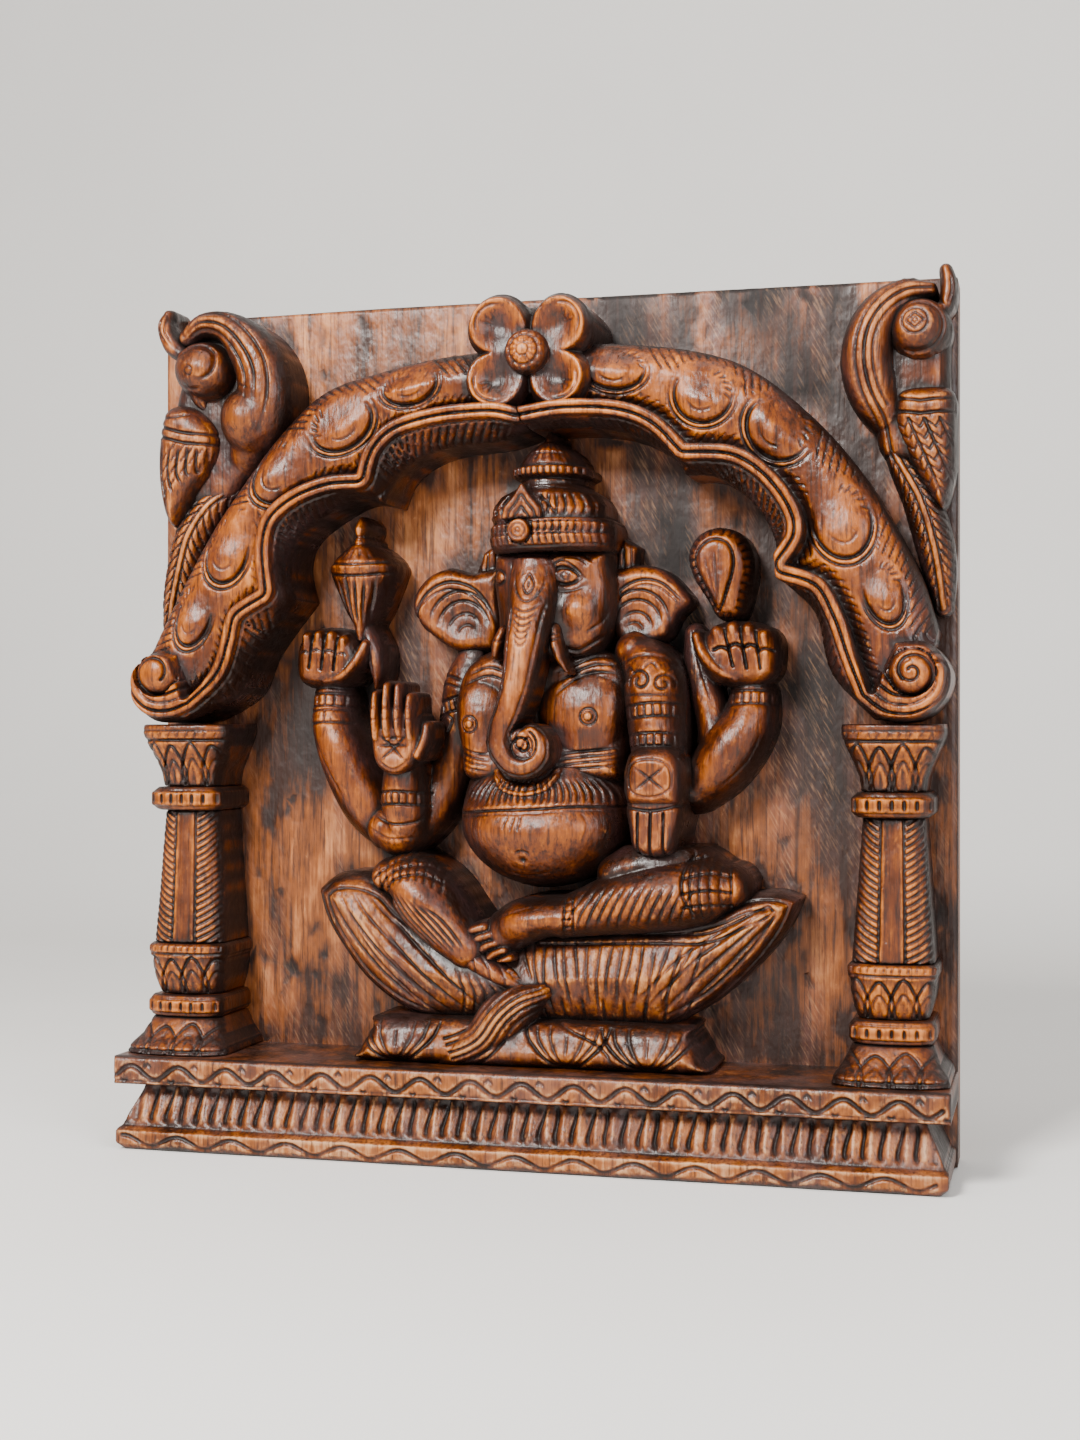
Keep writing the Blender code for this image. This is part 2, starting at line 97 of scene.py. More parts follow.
def loop(points, steps=5):
    """A smooth closed line through the points."""
    n = len(points)
    wrapped = [points[(i - 1) % n] for i in range(n + 3)]
    return curve(wrapped, steps)[steps:-steps]


def arc(cx, cz, rx, rz=None, start=0.0, end=360.0, count=24, tilt=0.0):
    """Part of an ellipse, in degrees anticlockwise from +x, turned by tilt degrees."""
    rz = rx if rz is None else rz
    a = np.radians(np.linspace(start, end, count + 1))
    c, s = math.cos(math.radians(tilt)), math.sin(math.radians(tilt))
    u, v = rx * np.cos(a), rz * np.sin(a)
    return np.column_stack([cx + u * c - v * s, cz + u * s + v * c])


def spiral(cx, cz, outer, inner, start, sweep, count=40):
    """A spiral from the outer to the inner radius, in degrees."""
    t = np.linspace(0, 1, count + 1)
    a = np.radians(start + sweep * t)
    r = outer + (inner - outer) * t
    return np.column_stack([cx + r * np.cos(a), cz + r * np.sin(a)])


def spoke(cx, cz, near, far, angle):
    """A straight line outwards between two radii, at an angle in radians."""
    c, s = math.cos(angle), math.sin(angle)
    return [(cx + near * c, cz + near * s), (cx + far * c, cz + far * s)]


def dome(share):
    """A quarter-round profile: 0 at the edge, 1 from share 1 inwards."""
    return np.sqrt(np.clip(1 - (1 - np.clip(share, 0, 1)) ** 2, 0, 1))


def soft_max(a, b, k):
    """The larger of two fields, blended over k where they meet."""
    if k <= 0:
        return np.maximum(a, b)
    h = np.clip(0.5 + 0.5 * (a - b) / k, 0, 1)
    return b + (a - b) * h + k * h * (1 - h)


def smooth(t):
    """A soft step from 0 to 1."""
    t = np.clip(t, 0, 1)
    return t * t * (3 - 2 * t)


def band(gap, half):
    """A soft band: 1 where the gap is nil, 0 from half its width outwards."""
    return smooth(1 - np.abs(gap) / half)


def waves(place, pitch, sharpness):
    """Even ridges: 1 on each multiple of the pitch, narrower the sharper they are."""
    return np.clip(np.cos(2 * math.pi * place / pitch), 0, 1) ** sharpness


class Line:
    """A line in the plan, with each grid point's distance to it and place along it."""

    def __init__(self, X, Z, points, closed=False):
        points = np.asarray(points, float)
        if closed:
            points = np.vstack([points, points[:1]])
        best = np.full(X.shape, 1e9, np.float32)
        self.s = np.zeros(X.shape, np.float32)
        self.side = np.zeros(X.shape, np.float32)
        self.extra = np.zeros((points.shape[1] - 2, *X.shape), np.float32)
        run = 0.0
        for a, b in zip(points[:-1], points[1:]):
            dx, dz = b[0] - a[0], b[1] - a[1]
            length = math.hypot(dx, dz)
            if length < 1e-6:
                continue
            raw = ((X - a[0]) * dx + (Z - a[1]) * dz) / length**2
            t = np.clip(raw, 0, 1)
            gap = (X - a[0] - t * dx) ** 2 + (Z - a[1] - t * dz) ** 2
            near = gap < best
            best[near] = gap[near]
            self.s[near] = run + length * t[near]
            cross = ((X - a[0]) * dz - (Z - a[1]) * dx) / length
            self.side[near] = cross[near]
            for k in range(len(self.extra)):
                self.extra[k][near] = (a[2 + k] + (b[2 + k] - a[2 + k]) * t)[near]
            run += length
        self.d = np.sqrt(best)
        self.length = run


class Patch:
    """A patch of the panel that holds one carved element: its outline and height.

    It is named after the CAD node that the element replaces.
    """

    def __init__(self, name, box, slot, back=SUNK, step=STEP):
        self.name = name
        self.slot = slot
        self.step = step
        x0, x1, z0, z1 = box
        self.x = np.arange(x0 - 2, x1 + 2 + self.step, self.step, dtype=np.float32)
        self.z = np.arange(z0 - 2, z1 + 2 + self.step, self.step, dtype=np.float32)
        self.X, self.Z = np.meshgrid(self.x, self.z, indexing="ij")
        self.back = back
        self.edge = np.full(self.X.shape, 1e3, np.float32)
        self.height = np.full(self.X.shape, LOW, np.float32)

    def line(self, points, closed=False):
        """A line over the whole patch."""
        return Line(self.X, self.Z, points, closed)

    def inside(self, outline):
        """Distance in from a closed outline: positive inside, negative outside."""
        outline = np.asarray(outline, float)
        line = self.line(outline[:, :2], closed=True)
        odd = np.zeros(self.X.shape, bool)
        ends = np.roll(outline, -1, axis=0)
        for (ax, az), (bx, bz) in zip(outline[:, :2], ends[:, :2]):
            if az == bz:
                continue
            spans = (self.Z >= min(az, bz)) & (self.Z < max(az, bz))
            odd ^= spans & (self.X < ax + (self.Z - az) * (bx - ax) / (bz - az))
        return np.where(odd, line.d, -line.d)

    def add(self, depth_in, height, blend=0.0):
        """Joins a form, given how far in from its own outline each point lies."""
        height = np.where(depth_in > 0, height, LOW).astype(np.float32)
        self.height = soft_max(self.height, height, blend) if blend else np.maximum(
            self.height, height
        )
        self.edge = np.minimum(self.edge, -depth_in).astype(np.float32)

    def pillow(self, outline, base, rise, radius, blend=0.0):
        """A raised form with a rounded shoulder of that radius."""
        d = self.inside(outline)
        self.add(d, base + rise * dome(d / radius), blend)
        return d

    def ball(self, cx, cz, rx, rz, base, rise, tilt=0.0, blend=0.0):
        """Half an ellipsoid standing on the base depth."""
        c, s = math.cos(math.radians(tilt)), math.sin(math.radians(tilt))
        u = ((self.X - cx) * c + (self.Z - cz) * s) / rx
        v = (-(self.X - cx) * s + (self.Z - cz) * c) / rz
        r = np.sqrt(u * u + v * v)
        self.add((1 - r) * min(rx, rz), base + rise * np.sqrt(np.clip(1 - r * r, 0, 1)), blend)

    def limb(self, route, blend=0.0, steps=6):
        """A rounded member; the route holds (x, z, half width, shoulder depth, rise)."""
        line = self.line(curve(route, steps))
        half, base, rise = line.extra
        share = np.clip(1 - line.d / half, 0, 1)
        self.add(half - line.d, base + rise * dome(share), blend)
        return line

    def window(self, points, margin):
        """The slices of the grid that hold the points and a margin round them."""
        low, high = points.min(axis=0) - margin, points.max(axis=0) + margin
        i = [int((v - self.x[0]) / self.step) for v in (low[0], high[0] + self.step)]
        k = [int((v - self.z[0]) / self.step) for v in (low[1], high[1] + self.step)]
        return slice(max(i[0], 0), max(i[1] + 1, 0)), slice(max(k[0], 0), max(k[1] + 1, 0))

    def cut(self, points, width, depth, rounding=0, taper=True):
        """A gouge stroke that fades at its ends, smooth through its points if rounded."""
        points = curve(points, rounding) if rounding else np.asarray(points, float)
        window = self.window(points, width)
        X, Z = self.X[window], self.Z[window]
        if not X.size:
            return
        line = Line(X, Z, points)
        profile = smooth(1 - line.d / width)
        if taper:
            fade = np.minimum(line.s, line.length - line.s) / (0.25 * line.length + 1e-6)
            profile = profile * (0.25 + 0.75 * smooth(fade))
        self.height[window] -= np.where(self.height[window] > LOW / 2, depth * profile, 0)

    def groove(self, points, width, depth, rounding=0):
        """A cut of the same depth from end to end."""
        self.cut(points, width, depth, rounding, taper=False)

    def raise_to(self, region, height):
        """Lifts the surface inside a region to at least that height."""
        self.height = np.where(region, np.maximum(self.height, height), self.height)

    def carve(self, amount):
        """Takes an amount off the whole element, or puts it on where it is negative."""
        self.height = np.where(self.height > LOW / 2, self.height - amount, self.height)

    def rough(self, amount, scale_x, scale_z):
        """Low tool marks, longer one way than the other."""
        noise = rng.standard_normal(self.X.shape).astype(np.float32)
        fx = np.fft.fftfreq(self.X.shape[0], self.step)[:, None] * scale_x
        fz = np.fft.rfftfreq(self.X.shape[1], self.step)[None, :] * scale_z
        noise = np.fft.irfft2(
            np.fft.rfft2(noise) * np.exp(-((fx**2 + fz**2) * 8)), self.X.shape
        )
        self.carve(amount * noise / (noise.std() + 1e-9))

    def finish(self, adaptivity=0.02):
        """Meshes the element as the piece that stands for its CAD node."""
        mesh = mesh_of(self.name, *surface_of(self, adaptivity))
        mesh.materials.append(WOODS[self.slot])
        obj = bpy.data.objects.new(f"{self.name}_carving", mesh)
        bpy.context.scene.collection.objects.link(obj)
        panel.take(obj, self)
        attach(obj, "root")
        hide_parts(self.name)
        return obj


# Meshing


def spread(height, rounds):
    """Carries the height a few cells past its outline, so that walls stay clean."""
    known = height > LOW / 2
    height = np.where(known, height, 0)
    for _ in range(rounds):
        total = np.zeros_like(height)
        count = np.zeros_like(height)
        for axis in (0, 1):
            for way in (-1, 1):
                total += np.roll(np.where(known, height, 0), way, axis)
                count += np.roll(known, way, axis)
        fresh = ~known & (count > 0)
        height = np.where(fresh, total / np.maximum(count, 1), height)
        known |= fresh
    return height


def surface_of(patch, adaptivity):
    """(points in mm, faces) of the closed surface of a patch's form."""
    step = patch.step
    height = spread(patch.height, 5)
    top = float(patch.height.max())
    depth = np.arange(patch.back - 2 * step, top + 3 * step, step, dtype=np.float32)
    gx, gz = np.gradient(height, step)
    lean = np.minimum(np.sqrt(1 + gx**2 + gz**2), 2.5)
    field = (depth[None, :, None] - height[:, None, :]) / lean[:, None, :]
    field = soft_max(field, patch.edge[:, None, :], ROUND)
    field = np.maximum(field, patch.back - depth[None, :, None])
    field = np.clip(field, -3 * step, 3 * step).astype(np.float32)
    grid = openvdb.FloatGrid(3 * step)
    grid.copyFromArray(np.ascontiguousarray(field))
    points, triangles, quads = grid.convertToPolygons(isovalue=0.0, adaptivity=adaptivity)
    points = np.asarray(points, float) * step
    points += (patch.x[0], depth[0], patch.z[0])
    return points, np.asarray(triangles), np.asarray(quads)


def mesh_of(name, points, triangles, quads):
    """A Blender mesh whose faces look outwards."""
    placed = np.column_stack([points[:, 0], -points[:, 1], points[:, 2]]) * MM
    faces = [f[:, ::-1] for f in (triangles, quads) if len(f)]
    first = np.vstack([f[:, :3] for f in faces])
    a, b, c = (placed[first[:, k]] for k in range(3))
    if np.einsum("ij,ij->i", a, np.cross(b, c)).sum() < 0:
        faces = [f[:, ::-1] for f in faces]
    corners = np.concatenate([f.reshape(-1) for f in faces])
    sizes = np.concatenate([np.full(len(f), f.shape[1]) for f in faces])
    mesh = bpy.data.meshes.new(name)
    mesh.vertices.add(len(placed))
    mesh.vertices.foreach_set("co", placed.reshape(-1).astype(np.float32))
    mesh.loops.add(len(corners))
    mesh.loops.foreach_set("vertex_index", corners.astype(np.int32))
    mesh.polygons.add(len(sizes))
    starts = np.concatenate([[0], np.cumsum(sizes)[:-1]])
    mesh.polygons.foreach_set("loop_start", starts.astype(np.int32))
    mesh.update(calc_edges=True)
    mesh.validate()
    mesh.shade_smooth()
    return mesh


class Panel:
    """The whole panel's height, from which painted shade and light, dark stain in the cuts and wear are
    worked out.
    """

    def __init__(self):
        self.step = 0.8
        self.x = np.arange(-226, 226.5, self.step, dtype=np.float32)
        self.z = np.arange(-234, 236.5, self.step, dtype=np.float32)
        self.height = np.full((len(self.x), len(self.z)), BOARD_FRONT, np.float32)
        self.made = []

    def take(self, obj, patch):
        """Adds a finished element's height to the map."""
        i = np.clip(np.round((self.x - patch.x[0]) / patch.step).astype(int), -1, len(patch.x))
        k = np.clip(np.round((self.z - patch.z[0]) / patch.step).astype(int), -1, len(patch.z))
        ok_i = (i >= 0) & (i < len(patch.x))
        ok_k = (k >= 0) & (k < len(patch.z))
        part = patch.height[np.ix_(i[ok_i], k[ok_k])]
        where = np.ix_(ok_i, ok_k)
        self.height[where] = np.maximum(self.height[where], part)
        self.made.append(obj)

    def at(self, x, z):
        """The height at places in the plan."""
        i = np.clip(np.round((x - self.x[0]) / self.step), 0, len(self.x) - 1).astype(np.int32)
        k = np.clip(np.round((z - self.z[0]) / self.step), 0, len(self.z) - 1).astype(np.int32)
        return self.height[i, k]

    def lift(self, x, depth, z, rings, ignore, most):
        """How far points stand above their surroundings, in shares of most.

        Surroundings that lie more than ignore below belong to another form and
        count for nothing, so an outer edge isn't taken for a rubbed ridge.
        """
        total = np.zeros_like(depth)
        count = 0
        for n, radius in enumerate(rings):
            for a in np.arange(10) * math.pi / 5 + 0.3 * n:
                around = self.at(x + radius * math.cos(a), z + radius * math.sin(a))
                gap = depth - around
                total += np.where(gap > ignore, 0, np.clip(gap, -most, most))
                count += 1
        return total / (count * most)

    def paint_shade_and_wear(self):
        """Writes on every vertex how far it stands above what is around it, which the wood turns into
        painted shade and light, dark stain in the cuts and rubbed wear.

        Side walls count as a little sunk, which paints shade on them, and the back of the board as
        level.
        """
        for obj in self.made:
            mesh = obj.data
            co = np.empty(len(mesh.vertices) * 3, np.float32)
            mesh.vertices.foreach_get("co", co)
            x, y, z = co.reshape(-1, 3).T / MM
            # Fine relief: near-black painted shade with dark stain in the cuts, painted light on small
            # ridges, and the rubbed wear there.
            near = self.lift(x, -y, z, (1.3, 2.3), 2.5, 1.3)
            # Broad relief: painted shade in hollows and between forms, painted light on what stands
            # proud.
            wide = self.lift(x, -y, z, (4.0, 7.5), 6.0, 6.0)
            # Side walls: no fine relief, and painted shade from a broad value pushed below level.
            wall = smooth((self.at(x, z) + y - 1.5) / 3.0)
            near = near * (1 - wall)
            wide = wide * (1 - wall) - 0.22 * wall * (y < -1)
            for name, value in (("near_painted_shade_and_wear", near), ("wide_painted_light_and_shade", wide)):
                layer = mesh.attributes.new(name, "FLOAT", "POINT")
                layer.data.foreach_set("value", (0.5 + 0.5 * value).astype(np.float32))


panel = Panel()


# Materials


class Nodes:
    """A small helper for building a material's node tree."""

    def __init__(self, name):
        self.material = bpy.data.materials.new(name)
        self.material.use_nodes = True
        self.tree = self.material.node_tree
        self.shader = self.tree.nodes["Principled BSDF"]

    def add(self, kind, settings=None, **inputs):
        node = self.tree.nodes.new(kind)
        for key, value in (settings or {}).items():
            setattr(node, key, value)
        for key, value in inputs.items():
            self.set(node.inputs[key.replace("_", " ")], value)
        return node

    def set(self, socket, value):
        if isinstance(value, bpy.types.NodeSocket):
            self.tree.links.new(value, socket)
        else:
            socket.default_value = value

    def math(self, operation, a, b=0.0, clamp=False):
        node = self.tree.nodes.new("ShaderNodeMath")
        node.operation = operation
        node.use_clamp = clamp
        self.set(node.inputs[0], a)
        self.set(node.inputs[1], b)
        return node.outputs[0]

    def ramp(self, value, stops):
        """A colour ramp; stops are (position, grey or colour)."""
        node = self.tree.nodes.new("ShaderNodeValToRGB")
        elements = node.color_ramp.elements
        while len(elements) < len(stops):
            elements.new(0.5)
        for element, (position, colour) in zip(elements, stops):
            element.position = position
            rgb = colour if isinstance(colour, tuple) else (colour,) * 3
            element.color = (*rgb, 1.0)
        self.set(node.inputs[0], value)
        return node.outputs[0]

    def mix(self, share, a, b):
        node = self.tree.nodes.new("ShaderNodeMix")
        node.data_type = "RGBA"
        for socket, value in ((0, share), (6, a), (7, b)):
            value = (*value, 1.0) if isinstance(value, tuple) else value
            self.set(node.inputs[socket], value)
        return node.outputs[2]

    def noise(self, where, scale, detail=4.0, rough=0.55, stretch=(1, 1, 1), seed=(0, 0, 0)):
        """Noise in row-frame metres, stretched along the grain."""
        at = self.add("ShaderNodeMapping", Vector=where, Scale=stretch, Location=seed).outputs[0]
        kind = "ShaderNodeTexNoise"
        made = self.add(kind, Vector=at, Scale=scale, Detail=detail, Roughness=rough)
        return made.outputs["Fac"]


def stained_wood(
    name, dark, middle, light, worn, tint, tint_share, wear, rough=0.36, scratched=0.0
):
    """Stained and varnished hardwood with painted shade and light: near-black in the cuts as painted
    shade with dark stain, and paler where it stands proud as painted light with rubbed wear.
    """
    n = Nodes(name)
    where = n.add("ShaderNodeTexCoord").outputs["Object"]
    near = n.add("ShaderNodeAttribute", {"attribute_name": "near_painted_shade_and_wear"}).outputs["Fac"]
    wide = n.add("ShaderNodeAttribute", {"attribute_name": "wide_painted_light_and_shade"}).outputs["Fac"]
    fibre = n.noise(where, 560, 5, 0.65, (1, 1, 0.05))
    streak = n.noise(where, 85, 4, 0.62, (1, 1, 0.09), (3, 1, 7))
    along = 0.20 if scratched else 0.7
    size = 44 if scratched else 25
    patch = n.noise(where, size, 5, 0.65, (1, 1, along), (9, 2, 4))
    speck = n.noise(where, 300, 4, 0.6, (1, 1, 0.5), (5, 8, 1))

    def swing(value, share):
        """How far a value lies from its mean of 0.5, times a share."""
        return n.math("MULTIPLY", n.math("SUBTRACT", value, 0.5), share)

    # Painted shade and light: the tone is darker where the surface lies below its surroundings and
    # paler where it stands proud, broadly and finely.
    tone = n.math("ADD", swing(wide, 1.5), 0.43)
    for value, share in ((near, 0.9), (patch, 1.2), (streak, 0.85), (fibre, 0.55), (speck, 0.25)):
        tone = n.math("ADD", tone, swing(value, share))
    body = n.ramp(tone, ((0.16, dark), (0.45, middle), (0.72, light), (0.98, worn)))

    cloudy = n.noise(where, 1.3 * size, 4, 0.65, (1, 1, 0.6 * along), (1, 6, 2))
    cloudy = n.ramp(cloudy, ((0.47, 0.0), (0.64, 1.0)))
    body = n.mix(n.math("MULTIPLY", cloudy, tint_share), body, tint)

    rubbed = n.math("ADD", near, swing(speck, 0.7))
    rubbed = n.ramp(rubbed, ((0.60, 0.0), (0.80, 1.0)))
    body = n.mix(n.math("MULTIPLY", rubbed, wear), body, worn)
    # Painted shade with dark stain: the cuts and crevices go near-black.
    crevice_shade_and_stain = n.ramp(near, ((0.14, 1.0), (0.43, 0.0)))
    body = n.mix(n.math("MULTIPLY", crevice_shade_and_stain, 0.94), body, (0.005, 0.0022, 0.0016))
    pores = n.ramp(fibre, ((0.37, 1.0), (0.46, 0.0)))
    body = n.mix(n.math("MULTIPLY", pores, 0.6), body, dark)
    if scratched:
        slant = n.add("ShaderNodeMapping", Vector=where, Rotation=(0, 0.5, 0))
        rasp = n.noise(slant.outputs[0], 900, 3, 0.6, (1, 1, 0.10), (0, 3, 0))
        rasp = n.ramp(rasp, ((0.50, 0.0), (0.68, 1.0)))
        share = n.math("MULTIPLY", n.math("MULTIPLY", rasp, cloudy), scratched)
        body = n.mix(share, body, worn)
        crack = n.noise(where, 120, 3, 0.6, (1, 1, 0.035), (7, 7, 3))
        crack = n.ramp(crack, ((0.31, 1.0), (0.39, 0.0)))
        body = n.mix(n.math("MULTIPLY", crack, 0.75), body, dark)
    deep = n.add("ShaderNodeHueSaturation", Saturation=1.1, Value=0.97, Color=body)
    n.set(n.shader.inputs["Base Color"], deep.outputs[0])

    gloss = swing(patch, 0.5)
    gloss = n.math("ADD", gloss, n.math("MULTIPLY", crevice_shade_and_stain, 0.25))
    gloss = n.math("ADD", gloss, n.math("MULTIPLY", speck, 0.2))
    n.set(n.shader.inputs["Roughness"], n.math("ADD", gloss, rough - 0.10, clamp=True))
    n.shader.inputs["Specular IOR Level"].default_value = 0.38

    tooling = n.noise(where, 150, 2, 0.5, (1, 1, 0.7), (2, 4, 6))
    facets = n.add("ShaderNodeBump", Strength=0.55, Distance=0.0016, Height=tooling)
    grain = n.math("ADD", n.math("MULTIPLY", fibre, 0.6), n.math("MULTIPLY", speck, 0.55))
    bump = n.add("ShaderNodeBump", Strength=0.55, Distance=0.0007, Height=grain)
    n.set(bump.inputs["Normal"], facets.outputs[0])
    n.set(n.shader.inputs["Normal"], bump.outputs[0])
    return n.material


def plain_steel(name, colour, rough):
    """Zinc-plated steel with a faint brushed and mottled finish."""
    n = Nodes(name)
    where = n.add("ShaderNodeTexCoord").outputs["Object"]
    brush = n.noise(where, 900, 4, 0.6, (1, 1, 0.06))
    mottle = n.noise(where, 160, 3, 0.5)
    tone = n.math("ADD", n.math("MULTIPLY", brush, 0.5), n.math("MULTIPLY", mottle, 0.5))
    darker = tuple(0.72 * c for c in colour)
    n.set(n.shader.inputs["Base Color"], n.ramp(tone, ((0.35, darker), (0.65, colour))))
    n.set(n.shader.inputs["Roughness"], n.ramp(tone, ((0.3, rough - 0.08), (0.7, rough + 0.10))))
    n.shader.inputs["Metallic"].default_value = 1.0
    bump = n.add("ShaderNodeBump", Strength=0.2, Distance=0.0002, Height=brush)
    n.set(n.shader.inputs["Normal"], bump.outputs[0])
    return n.material


BLACKENED = (0.013, 0.0045, 0.0025)
MAHOGANY = (0.085, 0.022, 0.007)
VIOLET = (0.070, 0.038, 0.040)
WOODS = {
    "board_wood": stained_wood(
        "board_wood", (0.026, 0.009, 0.005), (0.220, 0.074, 0.028), (0.52, 0.228, 0.105),
        (0.74, 0.43, 0.25), (0.172, 0.070, 0.052), 0.40, 0.6, 0.42, 0.22,
    ),
    "base_wood": stained_wood(
        "base_wood", BLACKENED, (0.105, 0.030, 0.010), (0.28, 0.100, 0.036),
        (0.52, 0.29, 0.155), (0.140, 0.078, 0.070), 0.32, 0.68, 0.38,
    ),
    "pillar_wood": stained_wood(
        "pillar_wood", BLACKENED, MAHOGANY, (0.230, 0.064, 0.012),
        (0.50, 0.190, 0.068), VIOLET, 0.15, 0.60, 0.36,
    ),
    "arch_wood": stained_wood(
        "arch_wood", BLACKENED, (0.100, 0.023, 0.0050), (0.29, 0.080, 0.014),
        (0.55, 0.215, 0.080), VIOLET, 0.25, 0.60, 0.34,
    ),
    "bird_wood": stained_wood(
        "bird_wood", BLACKENED, (0.066, 0.0155, 0.0045), (0.185, 0.052, 0.012),
        (0.46, 0.190, 0.080), VIOLET, 0.25, 0.60, 0.35,
    ),
    "figure_wood": stained_wood(
        "figure_wood", BLACKENED, (0.076, 0.0175, 0.0047), (0.215, 0.058, 0.0120),
        (0.47, 0.190, 0.080), VIOLET, 0.28, 0.62, 0.34,
    ),
    "seat_wood": stained_wood(
        "seat_wood", BLACKENED, (0.072, 0.018, 0.0058), (0.205, 0.062, 0.0165),
        (0.46, 0.220, 0.100), (0.100, 0.054, 0.052), 0.34, 0.62, 0.36,
    ),
}
ZINC = plain_steel("plate_steel", (0.42, 0.41, 0.38), 0.42)
DARK_ZINC = plain_steel("screw_steel", (0.33, 0.32, 0.30), 0.36)


# Back board


def box_mm(node):
    """A node's box as (x0, x1, z0, z1, front depth)."""
    low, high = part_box(node)
    return low[0] / MM, high[0] / MM, low[2] / MM, high[2] / MM, -low[1] / MM


def back_board():
    """The flat ground of the panel, dressed with long shallow gouge strokes."""
    x0, x1, z0, z1, front = box_mm("back_board")
    p = Patch("back_board", (x0, x1, z0, z1), "board_wood", back=0.0, step=1.6)
    edge = [(x0, z0), (x1, z0), (x1, z1 - 1), (120, z1 - 0.4), (-90, z1), (x0, z1 - 1.2)]
    p.add(p.inside(edge), front)
    p.rough(0.45, 26, 60)
    p.rough(0.22, 9, 30)
    for x in np.arange(x0 + 6, x1 - 4, 9.0):
        for z in np.arange(z0 + 10, z1 - 6, 27.0):
            dx, dz, lean = rng.normal(0, 3), rng.normal(0, 8), rng.normal(0, 2.5)
            long = rng.uniform(8, 20)
            stroke = [(x + dx - lean, z + dz - long / 2), (x + dx + lean, z + dz + long / 2)]
            p.cut(stroke, rng.uniform(2.6, 4.6), rng.uniform(0.25, 0.8))
    p.height = np.minimum(p.height, front)
    return p.finish(adaptivity=0.12)


def let_in_plates(obj):
    """Cuts the shallow recesses of the hanging plates into the back of the board.

    Under each plate a narrower, deeper slot leaves room for the head of a wall screw.
    """
    gap, past = 0.0003, 0.001
    slot_inset, slot_height, slot_depth = 0.0045, 0.019, 0.0038
    cutters = []
    for side in ("left", "right"):
        low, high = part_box(f"{side}_hanging_plate")
        wide, thick, tall = (high[k] - low[k] for k in range(3))
        for size_x, size_z, deep in (
            (wide + 2 * gap, tall + 2 * gap, thick + gap),
            (wide - 2 * slot_inset, slot_height, slot_depth),
        ):
            bm = bmesh.new()
            middle = [(low[0] + high[0]) / 2, (past - deep) / 2, (low[2] + high[2]) / 2]
            bmesh.ops.create_cube(bm, size=1.0)
            bmesh.ops.scale(bm, vec=[size_x, deep + past, size_z], verts=bm.verts)
            bmesh.ops.translate(bm, vec=middle, verts=bm.verts)
            ends = [e for e in bm.edges if abs((e.verts[0].co - e.verts[1].co).y) > 1e-6]
            bmesh.ops.bevel(bm, geom=ends, offset=0.0042, segments=4, affect="EDGES", profile=0.5)
            mesh = bpy.data.meshes.new("recess")
            bm.to_mesh(mesh)
            bm.free()
            cutter = bpy.data.objects.new("recess", mesh)
            bpy.context.scene.collection.objects.link(cutter)
            cutters.append(cutter)
            modifier = obj.modifiers.new("recess", "BOOLEAN")
            modifier.operation = "DIFFERENCE"
            modifier.object = cutter
    bpy.context.view_layer.update()
    graph = bpy.context.evaluated_depsgraph_get()
    mesh = bpy.data.meshes.new_from_object(obj.evaluated_get(graph))
    obj.modifiers.clear()
    obj.data = mesh
    for cutter in cutters:
        bpy.data.objects.remove(cutter)


# Base


def profile(z, table):
    """Reads a turned or moulded profile: the table holds (z, value) upwards."""
    return np.interp(z, [row[0] for row in table], [row[1] for row in table])


def column(p, cx, widths, fronts, drop, fullness=1.0):
    """An upright form with a rounded front; widths and fronts are tables over z."""
    half = profile(p.Z, widths)
    share = np.clip(1 - np.abs(p.X - cx) / half, 0, 1)
    low, high = widths[0][0], widths[-1][0]
    d = np.minimum(half - np.abs(p.X - cx), np.minimum(p.Z - low, high - p.Z))
    p.add(d, profile(p.Z, fronts) - drop + drop * dome(share * fullness))


